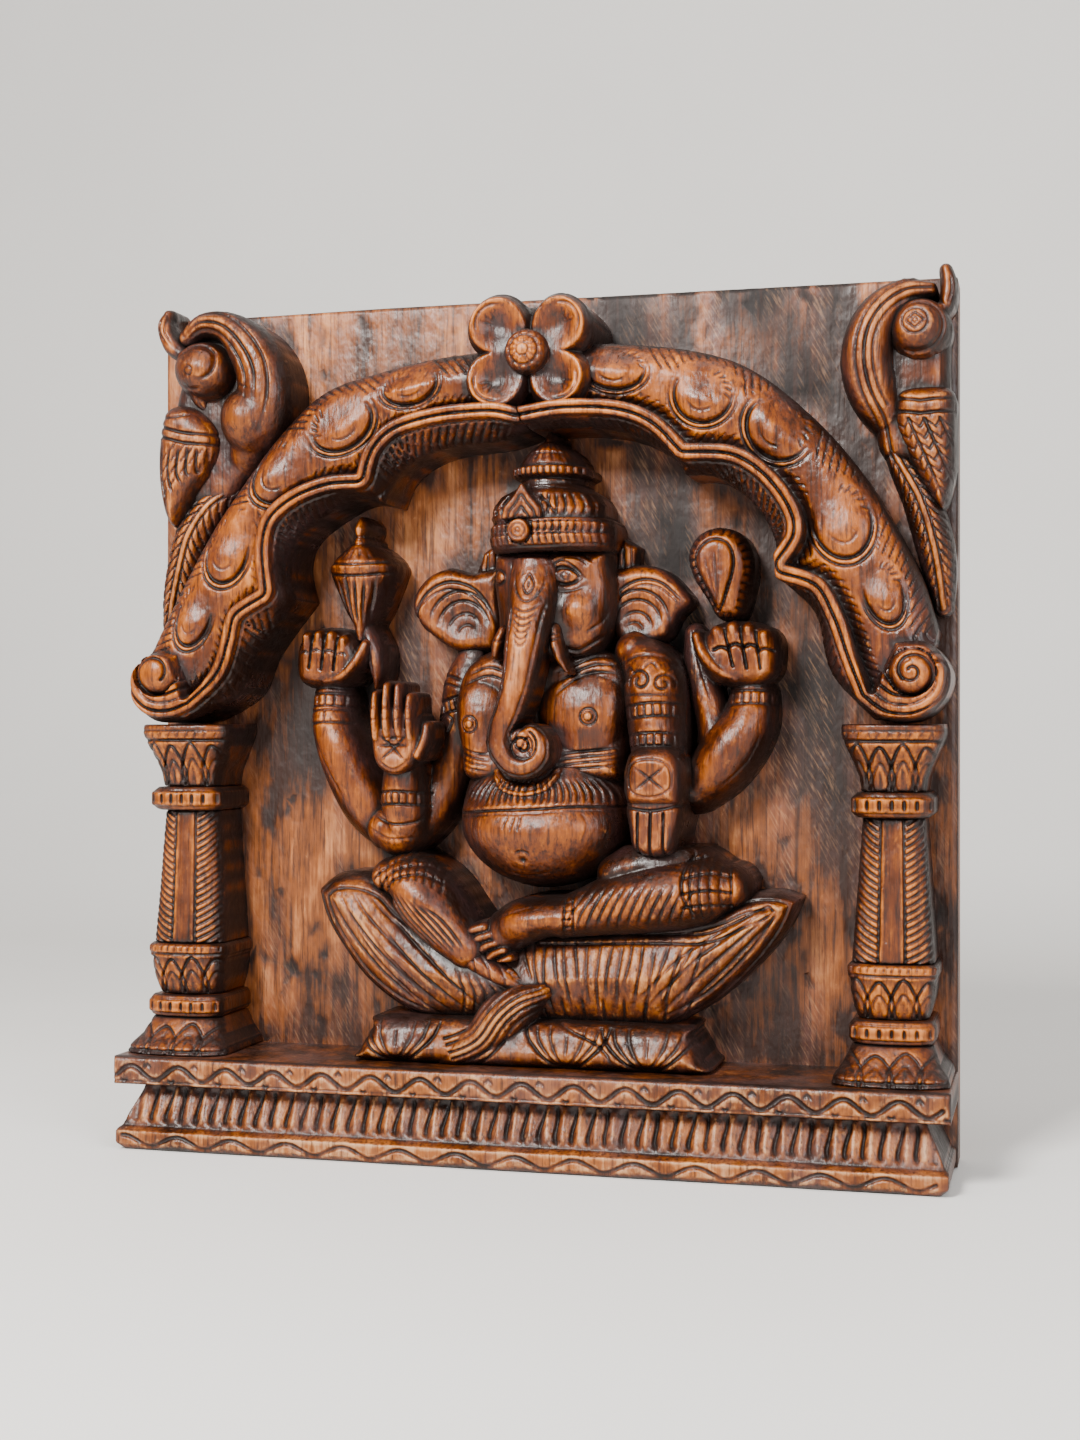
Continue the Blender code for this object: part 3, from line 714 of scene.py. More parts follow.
def base():
    """The rail with its wave groove, and the plinth with its hollow band of gadroons."""
    x0, x1, z0, z1, front = box_mm("base_rail")
    p = Patch("base_rail", (x0, x1, z0, z1), "base_wood")
    d = p.inside([(x0, z0), (x1, z0), (x1, z1), (x0, z1)])
    p.add(d, front - 2.2 + 2.2 * dome(d / 3.0))
    length = 27.0
    middle = (z0 + z1) / 2 - 0.8
    xs = np.arange(x0 + 2, x1 - 2, 2.0)
    wave = np.column_stack([xs, middle + 3.6 * np.sin(xs / length * 2 * math.pi)])
    p.groove(wave, 2.3, 2.0)
    for n, crest in enumerate(np.arange(x0 + length / 4, x1, length / 2)):
        way = -1 if n % 2 else 1
        z = middle - way * 2.5
        p.cut([(crest - 2.4, z), (crest, z - way * 2.6), (crest + 2.4, z)], 1.5, 1.1)
    p.groove([(x0, z0 + 2.2), (x1, z0 + 2.2)], 1.0, 0.9)
    p.rough(0.18, 22, 7)
    p.finish()

    x0, x1, z0, z1, front = box_mm("base_plinth")
    p = Patch("base_plinth", (x0, x1, z0, z1), "base_wood")
    foot = z0 + 11.0
    depth = profile(
        p.Z,
        (
            (z0, front - 3), (z0 + 3.5, front), (foot - 1, front), (foot + 1.4, front - 4.5),
            (foot + 6, front - 5.5), (z1 - 7, front - 10), (z1, front - 13.5),
        ),
    )
    half = profile(
        p.Z,
        (
            (z0, x1 - 4), (z0 + 4, x1), (foot, x1), (foot + 1.5, x1 - 2), (foot + 6, x1 - 4),
            (z1, x1 - 12),
        ),
    )
    d = np.minimum(half - np.abs(p.X), np.minimum(p.Z - z0, z1 - p.Z))
    p.add(d, depth)
    pitch = 8.6
    hollow = smooth((p.Z - foot - 2.5) / 3) * smooth((z1 - 1.5 - p.Z) / 3)
    p.carve(1.6 * hollow * np.abs(np.sin(math.pi * (p.X - x0 - 18) / pitch - math.pi / 2)) ** 2)
    for n, x in enumerate(np.arange(x0 + 18, x1 - 12, pitch)):
        lean = 1.4 * math.sin(n * 2.1) + 1.2
        stroke = [
            (x + lean, z1 - 2.5), (x + 0.6 + lean / 2, z1 - 8), (x - 0.4, foot + 7),
            (x + 0.8, foot + 3.2),
        ]
        p.cut(stroke, 1.5, 2.0, 4)
        p.cut([(x - 3.2, z1 - 3), (x - 3.6, foot + 5)], 1.0, 0.5)
    xs = np.arange(x0 + 4, x1 - 4, 2.0)
    wave = np.column_stack([xs, z0 + 5.4 + 2.6 * np.sin(xs / 31 * 2 * math.pi + 1)])
    p.groove(wave, 1.9, 1.5)
    p.rough(0.20, 20, 8)
    p.finish()


# Pillars


def ring_marks(p, cx, z0, z1):
    """A row of oval beads, parted by short upright cuts between two border cuts."""
    half, pitch = 21, 6.1
    for z in (z1 - 2.2, z0 + 2.2):
        p.groove([(cx - half, z), (cx + half, z)], 1.3, 1.6)
    for x in np.arange(cx - half + pitch / 2, cx + half, pitch):
        p.cut([(x, z0 + 3), (x, z1 - 3)], 1.5, 2.2)


def leaf_marks(p, cx, z0, z1, half, leaves=4):
    """Standing lotus leaves: nested arcs with a rib cut in the middle of each."""
    for k, x in enumerate(np.linspace(cx - half, cx + half, leaves)):
        tall = z1 - z0 - (2.0 if k % 2 else 0.5)
        for grow, depth in ((1.0, 1.9), (0.62, 1.1)):
            w = half / (leaves - 1) * 1.05 * grow
            shoulder = z0 + tall * 0.45 * grow
            leaf = [
                (x - w, z0), (x - w * 1.05, shoulder), (x, z0 + tall * grow), (x + w * 1.05, shoulder),
                (x + w, z0),
            ]
            p.groove(leaf, 1.25, depth, 5)
        p.cut([(x, z0 + 1), (x, z0 + tall * 0.45)], 0.9, 0.8)


def shaft_marks(p, cx, z0, z1):
    """A plain face between two border cuts, and feather barbs on both sides of it."""
    for way in (-1, 1):
        p.groove([(cx + way * 6.6, z0), (cx + way * 5.6, z1)], 1.2, 1.7)
        p.groove([(cx + way * 3.2, z0), (cx + way * 2.9, z1)], 0.7, 0.35)
        for z in np.arange(z0 - 9, z1, 3.7):
            half = 20.5 - 5 * (z - z0) / (z1 - z0)
            start, end = (cx + way * 7.2, z), (cx + way * half, z + 8.5 + rng.normal(0, 0.4))
            middle = ((start[0] + end[0]) / 2, z + 3.2)
            p.groove([start, middle, end], 1.25, 1.5, 4)


def bulb_marks(p, cx, z0, z1):
    """Leaves under a cut, with a row of short strokes over it."""
    leaf_marks(p, cx, z0 + 1, z1 - 6.5, 18.0)
    p.groove([(cx - 23, z1 - 5.6), (cx + 23, z1 - 5.6)], 1.3, 1.8)
    for x in np.arange(cx - 20, cx + 21, 4.0):
        p.cut([(x, z1 - 4.4), (x + 0.6, z1 - 0.8)], 0.9, 1.0)


def capital_marks(p, cx, z0, z1):
    """Leaves under a band of slanted strokes."""
    leaf_marks(p, cx, z0 + 1, z1 - 9.5, 17.0)
    p.groove([(cx - 27, z1 - 8.6), (cx + 27, z1 - 8.6)], 1.5, 2.2)
    p.groove([(cx - 27, z1 - 3.4), (cx + 27, z1 - 3.4)], 1.0, 1.0)
    for x in np.arange(cx - 22, cx + 23, 5.2):
        p.cut([(x - 1, z1 - 7.4), (x + 1, z1 - 4.2)], 0.9, 0.9)


def foot_marks(p, cx, z0, z1):
    """Wide leaves over a cut."""
    leaf_marks(p, cx, z0 + 1, z1 - 2.5, 22.0)
    p.groove([(cx - 30, z0 + 2.2), (cx + 30, z0 + 2.2)], 1.1, 1.2)


# Each member: its marks, how far its sides fall back, and its sections. A section is
# (height, half width, front depth). The height is from the member's lower end, or from
# its upper end where it is negative, and TOP is the upper end itself.
TOP = None
PILLAR = {
    "foot": (foot_marks, 11, ((0, 29, 86), (4, 28, 85), (10, 23.5, 77), (TOP, 20, 71))),
    "lower_ring": (ring_marks, 9, ((0, 19.5, 70), (2.6, 21.5, 73), (-2.6, 21.5, 73), (TOP, 19.5, 70))),
    "bulb": (
        bulb_marks, 11,
        (
            (0, 17.5, 66), (5, 19.2, 68.2), (12, 20.6, 70), (-8, 21.3, 70.8), (-6, 22.5, 72),
            (-1.5, 22.5, 72), (TOP, 21, 70),
        ),
    ),
    "shaft": (shaft_marks, 11, ((0, 20.5, 69), (35, 18, 67), (TOP, 15.5, 65))),
    "upper_ring": (ring_marks, 9, ((0, 17.5, 68), (2.6, 20.5, 72), (-2.6, 20.5, 72), (TOP, 17.5, 68))),
    "capital": (
        capital_marks, 11,
        (
            (0, 16, 66), (7, 17, 67), (14, 19.5, 69), (22, 23, 72), (-8.5, 24.3, 73), (-4, 25.5, 74),
            (TOP, 25, 73.5),
        ),
    ),
}


def pillar(side):
    """The six members of one pillar, from the foot up."""
    for part, (marks, drop, sections) in PILLAR.items():
        node = f"{side}_pillar_{part}"
        x0, x1, z0, z1, _ = box_mm(node)
        cx = (x0 + x1) / 2
        p = Patch(node, (x0, x1, z0, z1), "pillar_wood")
        heights = [z1 if h is TOP else z0 + h if h >= 0 else z1 + h for h, _, _ in sections]
        widths = [(z, half) for z, (_, half, _) in zip(heights, sections)]
        fronts = [(z, front) for z, (_, _, front) in zip(heights, sections)]
        column(p, cx, widths, fronts, drop, 1.25)
        marks(p, cx, z0, z1)
        p.rough(0.14, 8, 26)
        p.finish()


# Arch

# The outer and inner lines of each half's moulding run from the crown down to the
# capital in stretches that meet in cusps. The scroll ends it below, the curl is the
# rim's last turn, and the eye is the middle of the scroll's ball. The crest band lies
# over the moulding: its upper line, its lower end, and its scales as (x, z, half width,
# half height, tilt).
ARCH = {
    "left": {
        "way": 1,
        "outer": (
            ((1, 162), (-14, 165), (-43.5, 163.5), (-68, 157), (-81, 145), (-86, 130.5)),
            ((-86, 130.5), (-104, 129.5), (-125, 122), (-139, 110), (-143.5, 93), (-141.5, 70.5)),
            ((-141.5, 70.5), (-158, 60), (-163, 44), (-169, 28), (-184, 14.5)),
        ),
        "inner": (
            ((4, 152), (-14, 147), (-48, 143), (-68, 132), (-76, 116)),
            ((-76, 116), (-92.5, 119), (-112, 110), (-127, 98), (-131, 83), (-127, 66)),
            ((-127, 66), (-149, 38), (-160, 15), (-184, 1)),
        ),
        "scroll": ((-184, 1), (-204, 0.5), (-216.5, 11), (-217, 27), (-206, 38.5), (-192, 37)),
        "curl": ((-184, 14.5), (-194, 11), (-204, 12), (-211, 19), (-212, 28)), "eye": (-201.5, 26.5),
        "eye_turns": ((12.0, 5.5, -70, -330, 1.5, 2.6),), "moulding_box": (-219.5, 5, 0, 167),
        "over": (
            (-212, 41), (-199, 66), (-180, 100), (-162, 125), (-137, 156), (-111, 178), (-76, 188),
            (-40, 194), (-8, 195),
        ),
        "end": ((-184, 14.5), (-199, 26), (-211, 36)),
        "scales": (
            (-60, 177, 15, 10, 12), (-98, 158, 17.5, 13, 28), (-133.5, 134, 14, 18, -38),
            (-164, 93, 12.5, 18, -14), (-183, 58, 10, 17, -18),
        ),
        "crest_box": (-219, -6, 10, 198), "tick_angle": 160,
    },
    "right": {
        "way": -1,
        "outer": (
            ((1, 162), (25, 165), (54, 163), (74, 155), (89, 140)),
            ((89, 140), (113, 138), (131, 127), (145, 108), (147.5, 92), (139, 78)),
            ((139, 78), (157, 71), (167, 54), (174, 34), (181, 16)),
        ),
        "inner": (
            ((4, 152), (35, 152), (59, 147), (79, 135), (86, 126)),
            ((86, 126), (103, 124), (121, 110), (131, 93), (134, 72)),
            ((134, 72), (152, 54), (160, 24), (182, 1)),
        ),
        "scroll": ((182, 1), (203, 0.5), (216, 11), (218.5, 26), (208, 39), (192, 39.5)),
        "curl": ((181, 16), (190, 9.5), (201, 9), (210.5, 15), (213, 25)), "eye": (200.5, 24.5),
        "eye_turns": ((12.0, 5.5, -110, 330, 1.5, 2.6), (6.0, 2.0, 100, 400, 1.2, 1.8)),
        "moulding_box": (0, 219.5, 0, 167),
        "over": (
            (212, 45), (204, 72), (189, 101), (174, 126), (151, 153), (121, 178), (91, 190), (48, 196),
            (14, 197),
        ),
        "end": ((181, 16), (199, 27), (211, 38)),
        "scales": (
            (50, 181, 16, 11, -8), (96, 166, 15, 14.5, -18), (134, 147, 17, 15, -48),
            (165.5, 100, 14.5, 19, 16), (186, 64, 9.5, 16, 18),
        ),
        "crest_box": (12, 219, 10, 200), "tick_angle": 20,
    },
}


def run_of(stretches):
    """One line through several smooth stretches that meet in cusps."""
    return np.vstack([curve(s, 6) for s in stretches])


def moulding(side):
    """Half of the cusped moulding: two beads, a hatched splay and a scroll at the end."""
    half = ARCH[side]
    outer = run_of(half["outer"])
    inner = run_of(half["inner"])
    scroll = curve(half["scroll"], 6)
    curl = curve(half["curl"], 6)
    eye = half["eye"]
    p = Patch(f"{side}_arch_moulding", half["moulding_box"], "arch_wood")
    d = p.inside(np.vstack([outer, scroll[::-1], inner[::-1]]))
    rim = p.line(np.vstack([outer, curl]))
    under = p.line(inner)
    t = rim.d
    flat = 79.5 - 0.05 * t
    splay = 63 + 14.5 * np.clip(under.d / np.maximum(t + under.d - 8.8, 3.0), 0, 1) ** 0.75
    scrolled = smooth((np.abs(p.X) - 168) / 14)
    body = np.where(t > 8.6, splay * (1 - scrolled) + (flat - 1.5) * scrolled, flat)
    body += 2.0 * dome(1 - np.abs(t - 2.3) / 2.3)
    body += 1.7 * dome(1 - np.abs(t - 6.5) / 2.0)
    body -= 1.7 * band(t - 4.5, 1.1) + 1.6 * band(t - 8.8, 1.1)
    body -= 2.2 * waves(rim.s - 0.75 * t, 5.2, 2) * smooth((t - 9.0) / 2.0) * (1 - scrolled)
    radius = np.hypot(p.X - eye[0], p.Z - eye[1])
    ball = 74 + 9.0 * np.sqrt(np.clip(1 - (radius / 12.0) ** 2, 0, 1))
    body = np.where(radius < 12.0, np.maximum(ball, 70), body)
    body -= np.where(t < 60, 6.5 * smooth(1 - np.maximum(d, 0) / 3.2) * scrolled, 0)
    p.add(d, body)
    for outer_radius, inner_radius, start, sweep, width, depth in half["eye_turns"]:
        p.groove(spiral(*eye, outer_radius, inner_radius, start, sweep), width, depth)
    p.rough(0.13, 12, 12)
    p.finish()


def scale_mark(p, cx, cz, rx, rz, tilt):
    """A raised oval scale with a double crescent cut round its lower end."""
    c, s = math.cos(math.radians(tilt)), math.sin(math.radians(tilt))
    u = ((p.X - cx) * c + (p.Z - cz) * s) / rx
    v = (-(p.X - cx) * s + (p.Z - cz) * c) / rz
    r = np.sqrt(u * u + v * v)
    lower = smooth((0.55 - v) / 0.9)
    p.carve(-2.6 * np.clip(1 - r * r, 0, 1) ** 0.8 * lower)
    for grow, depth, width in ((1.0, 2.4, 1.7), (1.2, 1.6, 1.3)):
        p.cut(arc(cx, cz, rx * grow, rz * grow, 168, 372, 22, tilt), width, depth)
    p.cut(arc(cx, cz, rx * 0.55, rz * 0.6, 205, 335, 10, tilt), 1.1, 0.8)
    return r


def crest(side):
    """Half of the crest band: overlapping scales between slanted hatching."""
    half = ARCH[side]
    way, scales = half["way"], half["scales"]
    inner = run_of(half["outer"])[6:]
    over = curve(half["over"], 6)
    p = Patch(f"{side}_arch_crest", half["crest_box"], "arch_wood")
    hidden = (inner - (0, 40)) * 0.97 + (0, 40)
    d = p.inside(np.vstack([over, hidden, half["end"]]))
    top = p.line(over)
    low = p.line(inner)
    share = top.d / (top.d + low.d + 1e-6)
    p.add(d, 55 + 13 * dome(top.d / 17) + 2.5 * np.sin(math.pi * share) - 3.0 * smooth(share * 6 - 5))
    covered = np.zeros(p.X.shape)
    for scale in scales:
        covered = np.maximum(covered, smooth((1.35 - scale_mark(p, *scale)) / 0.15))
    free = 1 - covered
    lean = -0.9 * way
    slash = waves(top.s + lean * top.d, 5.2, 4)
    p.carve(1.5 * slash * free * smooth((15 - top.d) / 4) * smooth(top.d / 3))
    slash = waves(low.s - lean * low.d, 4.4, 4)
    p.carve(0.9 * slash * free * smooth((8 - low.d) / 2) * smooth(low.d / 2))
    for cx, cz, rx, rz, tilt in scales:
        for k in range(5):
            a = math.radians(tilt + half["tick_angle"] - 17 * (k - 1) * way)
            x, z = cx + 0.98 * rx * math.cos(a), cz + 0.98 * rz * math.sin(a)
            p.cut([(x, z), (x - 4.4 * math.cos(a - 0.5), z - 5.5 * math.sin(a - 0.5))], 1.0, 1.0)
    p.rough(0.16, 14, 20)
    p.finish()


def rosette():
    """Four cupped petals on a round pad, and a domed centre of small florets."""
    cx, cz = 6, 190
    petals = ((-12, 176, 17.5), (23.5, 204.5, 17), (22.5, 176, 17), (-11, 205, 17.5))
    p = Patch("rosette_petals", (-34, 43, 155, 226), "arch_wood")
    pad = np.hypot(p.X - cx, p.Z - cz)
    p.add(28 - pad, 50 + 17 * dome((28 - pad) / 12))
    for x, z, r in petals:
        reach = math.hypot(x - cx, z - cz)
        along = ((p.X - x) * (x - cx) + (p.Z - z) * (z - cz)) / reach
        across = ((p.Z - z) * (x - cx) - (p.X - x) * (z - cz)) / reach
        u = np.hypot(np.where(along > 0, along / (r - 2), along / (r + 3)), across / r)
        cup = 74.5 + 4.5 * smooth(u / 0.85) - 8.0 * smooth((u - 0.76) / 0.24)
        p.add((1 - u) * r * 0.9, cup + 0.16 * along, blend=0.6)
    for x, z, _ in petals:
        a = math.degrees(math.atan2(z - cz, x - cx))
        p.cut(arc(x, z, 10.4, start=a - 70, end=a + 70, count=14), 1.2, 1.3)
        for turn in (-0.5, 0, 0.5):
            p.cut(spoke(x, z, 1.5, 8, math.radians(a) + turn), 0.8, 0.7)
    p.rough(0.12, 10, 10)
    p.finish()

    p = Patch("rosette_centre", (-7, 19, 177, 203), "arch_wood", back=66.0)
    radius = np.hypot(p.X - cx, p.Z - cz)
    p.add(11.6 - radius, 77 + 11 * np.sqrt(np.clip(1 - (radius / 11.7) ** 2, 0, 1)))
    p.groove(arc(cx, cz, 7.6), 1.1, 1.4)
    p.groove(arc(cx, cz, 3.4), 0.9, 1.1)
    for k in range(12):
        a = 2 * math.pi * k / 12
        p.cut(spoke(cx, cz, 3.6, 7.4, a), 0.8, 0.9)
        p.cut(spoke(cx, cz, 7.8, 10.0, a + 0.26), 0.8, 0.9)
    p.finish()


# Birds


def left_bird():
    """The left bird: a ball of a head under a hood-shaped neck, a wing and a tail plume."""
    p = Patch("left_bird_head", (-221, -163, 170, 230), "bird_wood")
    p.limb([
        (-210, 227, 3.5, 40, 7), (-211, 220, 5.0, 42, 9), (-206, 209, 5.5, 44, 9),
        (-199, 203, 4, 46, 6),
    ])
    p.cut([(-212, 225), (-212.5, 217), (-207, 209)], 1.2, 1.6, 5)
    p.cut([(-209, 224), (-209, 216), (-204, 209)], 0.9, 1.2, 5)
    p.ball(-186, 194, 18.5, 16.5, 42, 23, tilt=-20, blend=2)
    p.limb([(-192, 190, 8, 40, 14), (-190, 180, 6, 40, 12), (-187, 172, 3, 38, 8)], blend=2)
    p.cut(spiral(-185, 195, 13, 7, 150, -250), 1.6, 2.2)
    p.groove(arc(-189, 192, 2.4, count=10), 0.8, 1.0)
    p.cut([(-201, 199), (-194, 203), (-184, 205), (-175, 201)], 1.4, 1.6, 5)
    p.cut([(-196, 186), (-190, 183), (-184, 183)], 1.2, 1.6, 5)
    p.cut([(-191, 183), (-189.5, 178), (-187.5, 173)], 0.9, 1.2, 5)
    p.rough(0.15, 10, 10)
    p.finish()

    p = Patch("left_bird_neck", (-216, -134, 112, 225), "bird_wood")
    pad = [
        (-199, 206), (-186, 216), (-165, 212), (-150, 196), (-147, 172), (-156, 150), (-172, 122),
        (-196, 118), (-208, 140), (-208, 170), (-204, 190),
    ]
    p.pillow(loop(pad, 4), 35, 11, 9)
    hood = [
        (-197, 213, 5.5, 44, 8), (-186, 219, 7, 46, 12), (-171, 216.5, 9, 48, 14),
        (-158, 205, 13, 50, 15), (-150.5, 191, 15, 50, 16), (-149.5, 175, 16, 50, 16),
        (-155, 160, 16, 46, 18), (-163, 147, 12, 38, 16), (-170, 136, 7, 34, 8),
    ]
    p.limb(hood, blend=1.5)
    p.ball(-158, 165, 17.5, 20, 44, 25, tilt=15, blend=2.0)
    route = np.array(hood)[:, :2]
    over = route + np.array([
        (1.5, 3.5), (1, 4.5), (2, 5), (4, 5), (6, 3.5), (6.5, 0.5), (6, -3), (4, -4), (2, -3),
    ])
    under = route - np.array([
        (0.5, 3), (0, 3.5), (2, 4), (4, 3.5), (5.5, 2), (6, -1), (0, 0), (0, 0), (0, 0),
    ])
    for line, width, depth in ((over[:7], 1.5, 1.8), (route[:6], 1.6, 2.0), (under[:6], 1.4, 1.8)):
        p.cut(line, width, depth, 6)
    p.cut([(-172, 178), (-163, 184), (-152, 180)], 1.0, 0.8, 5)
    p.rough(0.22, 16, 16)
    p.finish()

    p = Patch("left_bird_wing", (-220, -172, 100, 180), "bird_wood")
    wing = loop([
        (-211, 172), (-196, 176), (-183, 168), (-177, 156), (-181, 140), (-191, 126), (-203, 108),
        (-211, 116), (-215, 142),
    ], 4)
    p.pillow(wing, 40, 17, 12)
    for drop in (0, 5.5):
        p.groove([
            (-216, 166 - drop), (-205, 162 - drop), (-193, 159 - drop), (-178, 158 - drop),
        ], 1.5, 2.0, 5)
    p.cut([(-213, 169), (-202, 168), (-190, 170)], 1.1, 1.3, 5)
    for k, x in enumerate(np.arange(-209, -180, 5.4)):
        low = 120 + 1.0 * (x + 209)
        p.cut([(x, 152), (x - 1.5, 138), (x + 2.0 - 0.1 * k, low)], 1.5, 2.2, 5)
        for z in np.arange(low + 5, 150, 6.5):
            p.cut([(x + 0.4, z), (x + 3.6, z + 4.5)], 1.0, 1.1)
    p.rough(0.15, 8, 18)
    p.finish()

    p = Patch("left_bird_tail", (-220.5, -166, 38, 136), "bird_wood")
    tail = [
        (-172, 129, 6, 32, 12), (-184, 121, 11, 34, 15), (-195, 105, 12, 36, 15),
        (-201, 88, 11.5, 36, 14), (-207, 66, 9.5, 34, 13), (-212, 47, 6, 32, 9),
    ]
    line = p.limb(tail)
    barbs = waves(line.s - 1.25 * line.d, 6.4, 3)
    p.carve(1.9 * barbs * smooth((line.d - 1.6) / 1.6))
    p.carve(1.8 * band(line.d - 1.9, 1.1))
    p.carve(1.2 * band(line.d - 6.5, 1.1) * (line.side > 0))
    p.rough(0.2, 10, 20)
    p.finish()


def right_bird():
    """The right bird, slimmer than the left one and with a ringed eye."""
    p = Patch("right_bird_head", (182, 222.5, 168, 231), "bird_wood")
    p.limb([
        (215, 227, 3.6, 42, 8), (216.5, 219, 4.4, 42, 9), (215, 209, 4.0, 44, 8), (208, 203, 4, 46, 8),
    ])
    p.cut([(217, 225), (218, 216), (216, 208)], 1.0, 1.3, 5)
    p.ball(202, 197, 16.5, 16.5, 42, 23, blend=2)
    p.limb([(206, 186, 8, 40, 12), (210, 178, 6, 38, 10), (213, 171, 3, 36, 7)], blend=2)
    p.cut(spiral(202, 198, 14, 10.5, 200, 300), 1.6, 2.3)
    p.groove(arc(201, 199, 6.4, count=18), 1.0, 1.3)
    p.groove([(196.5, 199), (201, 203), (205.5, 199), (201, 195), (196.5, 199)], 0.9, 1.3)
    p.groove(arc(201, 199, 1.5, count=8), 0.7, 0.9)
    p.cut([(190, 205), (199, 213), (211, 212), (217, 203)], 1.4, 1.7, 5)
    p.cut([(192, 187), (197, 182), (205, 179), (213, 181)], 1.4, 1.7, 5)
    p.cut([(199, 185), (206, 177)], 1.0, 1.2)
    p.cut([(209, 186), (214, 178)], 1.0, 1.2)
    p.rough(0.15, 10, 10)
    p.finish()

    p = Patch("right_bird_neck", (160, 219, 128, 224), "bird_wood")
    pad = [
        (206, 210), (190, 212), (176, 200), (172, 178), (178, 156), (184, 134), (204, 132), (216, 150),
        (217, 180), (216, 200),
    ]
    p.pillow(loop(pad, 4), 38, 12, 9)
    hood = [
        (207, 217.5, 4, 44, 8), (196, 216, 7.5, 46, 11), (185, 208, 10.5, 48, 14),
        (178, 196, 12, 50, 15), (176, 181, 13, 50, 15), (179, 166, 12.5, 48, 14),
        (185, 153, 9.5, 42, 12), (187, 143, 5, 36, 8),
    ]
    line = p.limb(hood)
    for shift, width, depth in ((0, 1.5, 2.0), (4.4, 1.2, 1.4)):
        p.carve(depth * band(line.side - shift, width) * (line.s < 95) * (line.d < 8))
    p.carve(1.3 * band(line.side + 4.2, 1.1) * (line.s < 80))
    p.rough(0.2, 12, 16)
    p.finish()

    p = Patch("right_bird_wing", (182, 222.5, 98, 176), "bird_wood")
    wing = loop([
        (190, 166), (203, 170), (219, 166), (220, 146), (219.5, 124), (214, 106), (205, 116),
        (196, 132), (189, 148),
    ], 4)
    d = p.pillow(wing, 40, 16, 11)
    p.groove([(187, 163), (203, 160.5), (221, 162)], 1.5, 2.0)
    p.groove([(187, 156.5), (203, 154), (221, 155.5)], 1.5, 2.0)
    below = smooth((153 - p.Z) / 1.0)
    u = (p.X - 190) * 0.92 + (p.Z - 150) * 0.4
    rows = waves(u, 7.2, 5)
    zig = np.abs(((u / 7.2 + 0.5) % 1) - 0.5) * 7.2
    barbs = waves(p.Z + 1.1 * zig, 5.6, 3)
    p.carve((1.9 * rows + 1.4 * barbs * (1 - rows)) * below * smooth(d / 2))
    p.rough(0.15, 8, 18)
    p.finish()

    p = Patch("right_bird_tail", (180, 221, 52, 146), "bird_wood")
    tail = [
        (187, 140, 4.5, 34, 12), (194, 128, 7.5, 36, 14), (202, 113, 9.5, 36, 15),
        (208, 94, 10, 36, 15), (211.5, 76, 8.5, 34, 13), (213.5, 58, 5, 32, 9),
    ]
    line = p.limb(tail)
    barbs = waves(line.s - 1.3 * line.d, 5.6, 3)
    p.carve(1.8 * barbs * smooth((line.d - 1.6) / 1.6))
    p.carve(1.7 * band(line.d - 1.9, 1.1))
    p.rough(0.2, 10, 20)
    p.finish()


# Crown, head, ears, trunk and tusks


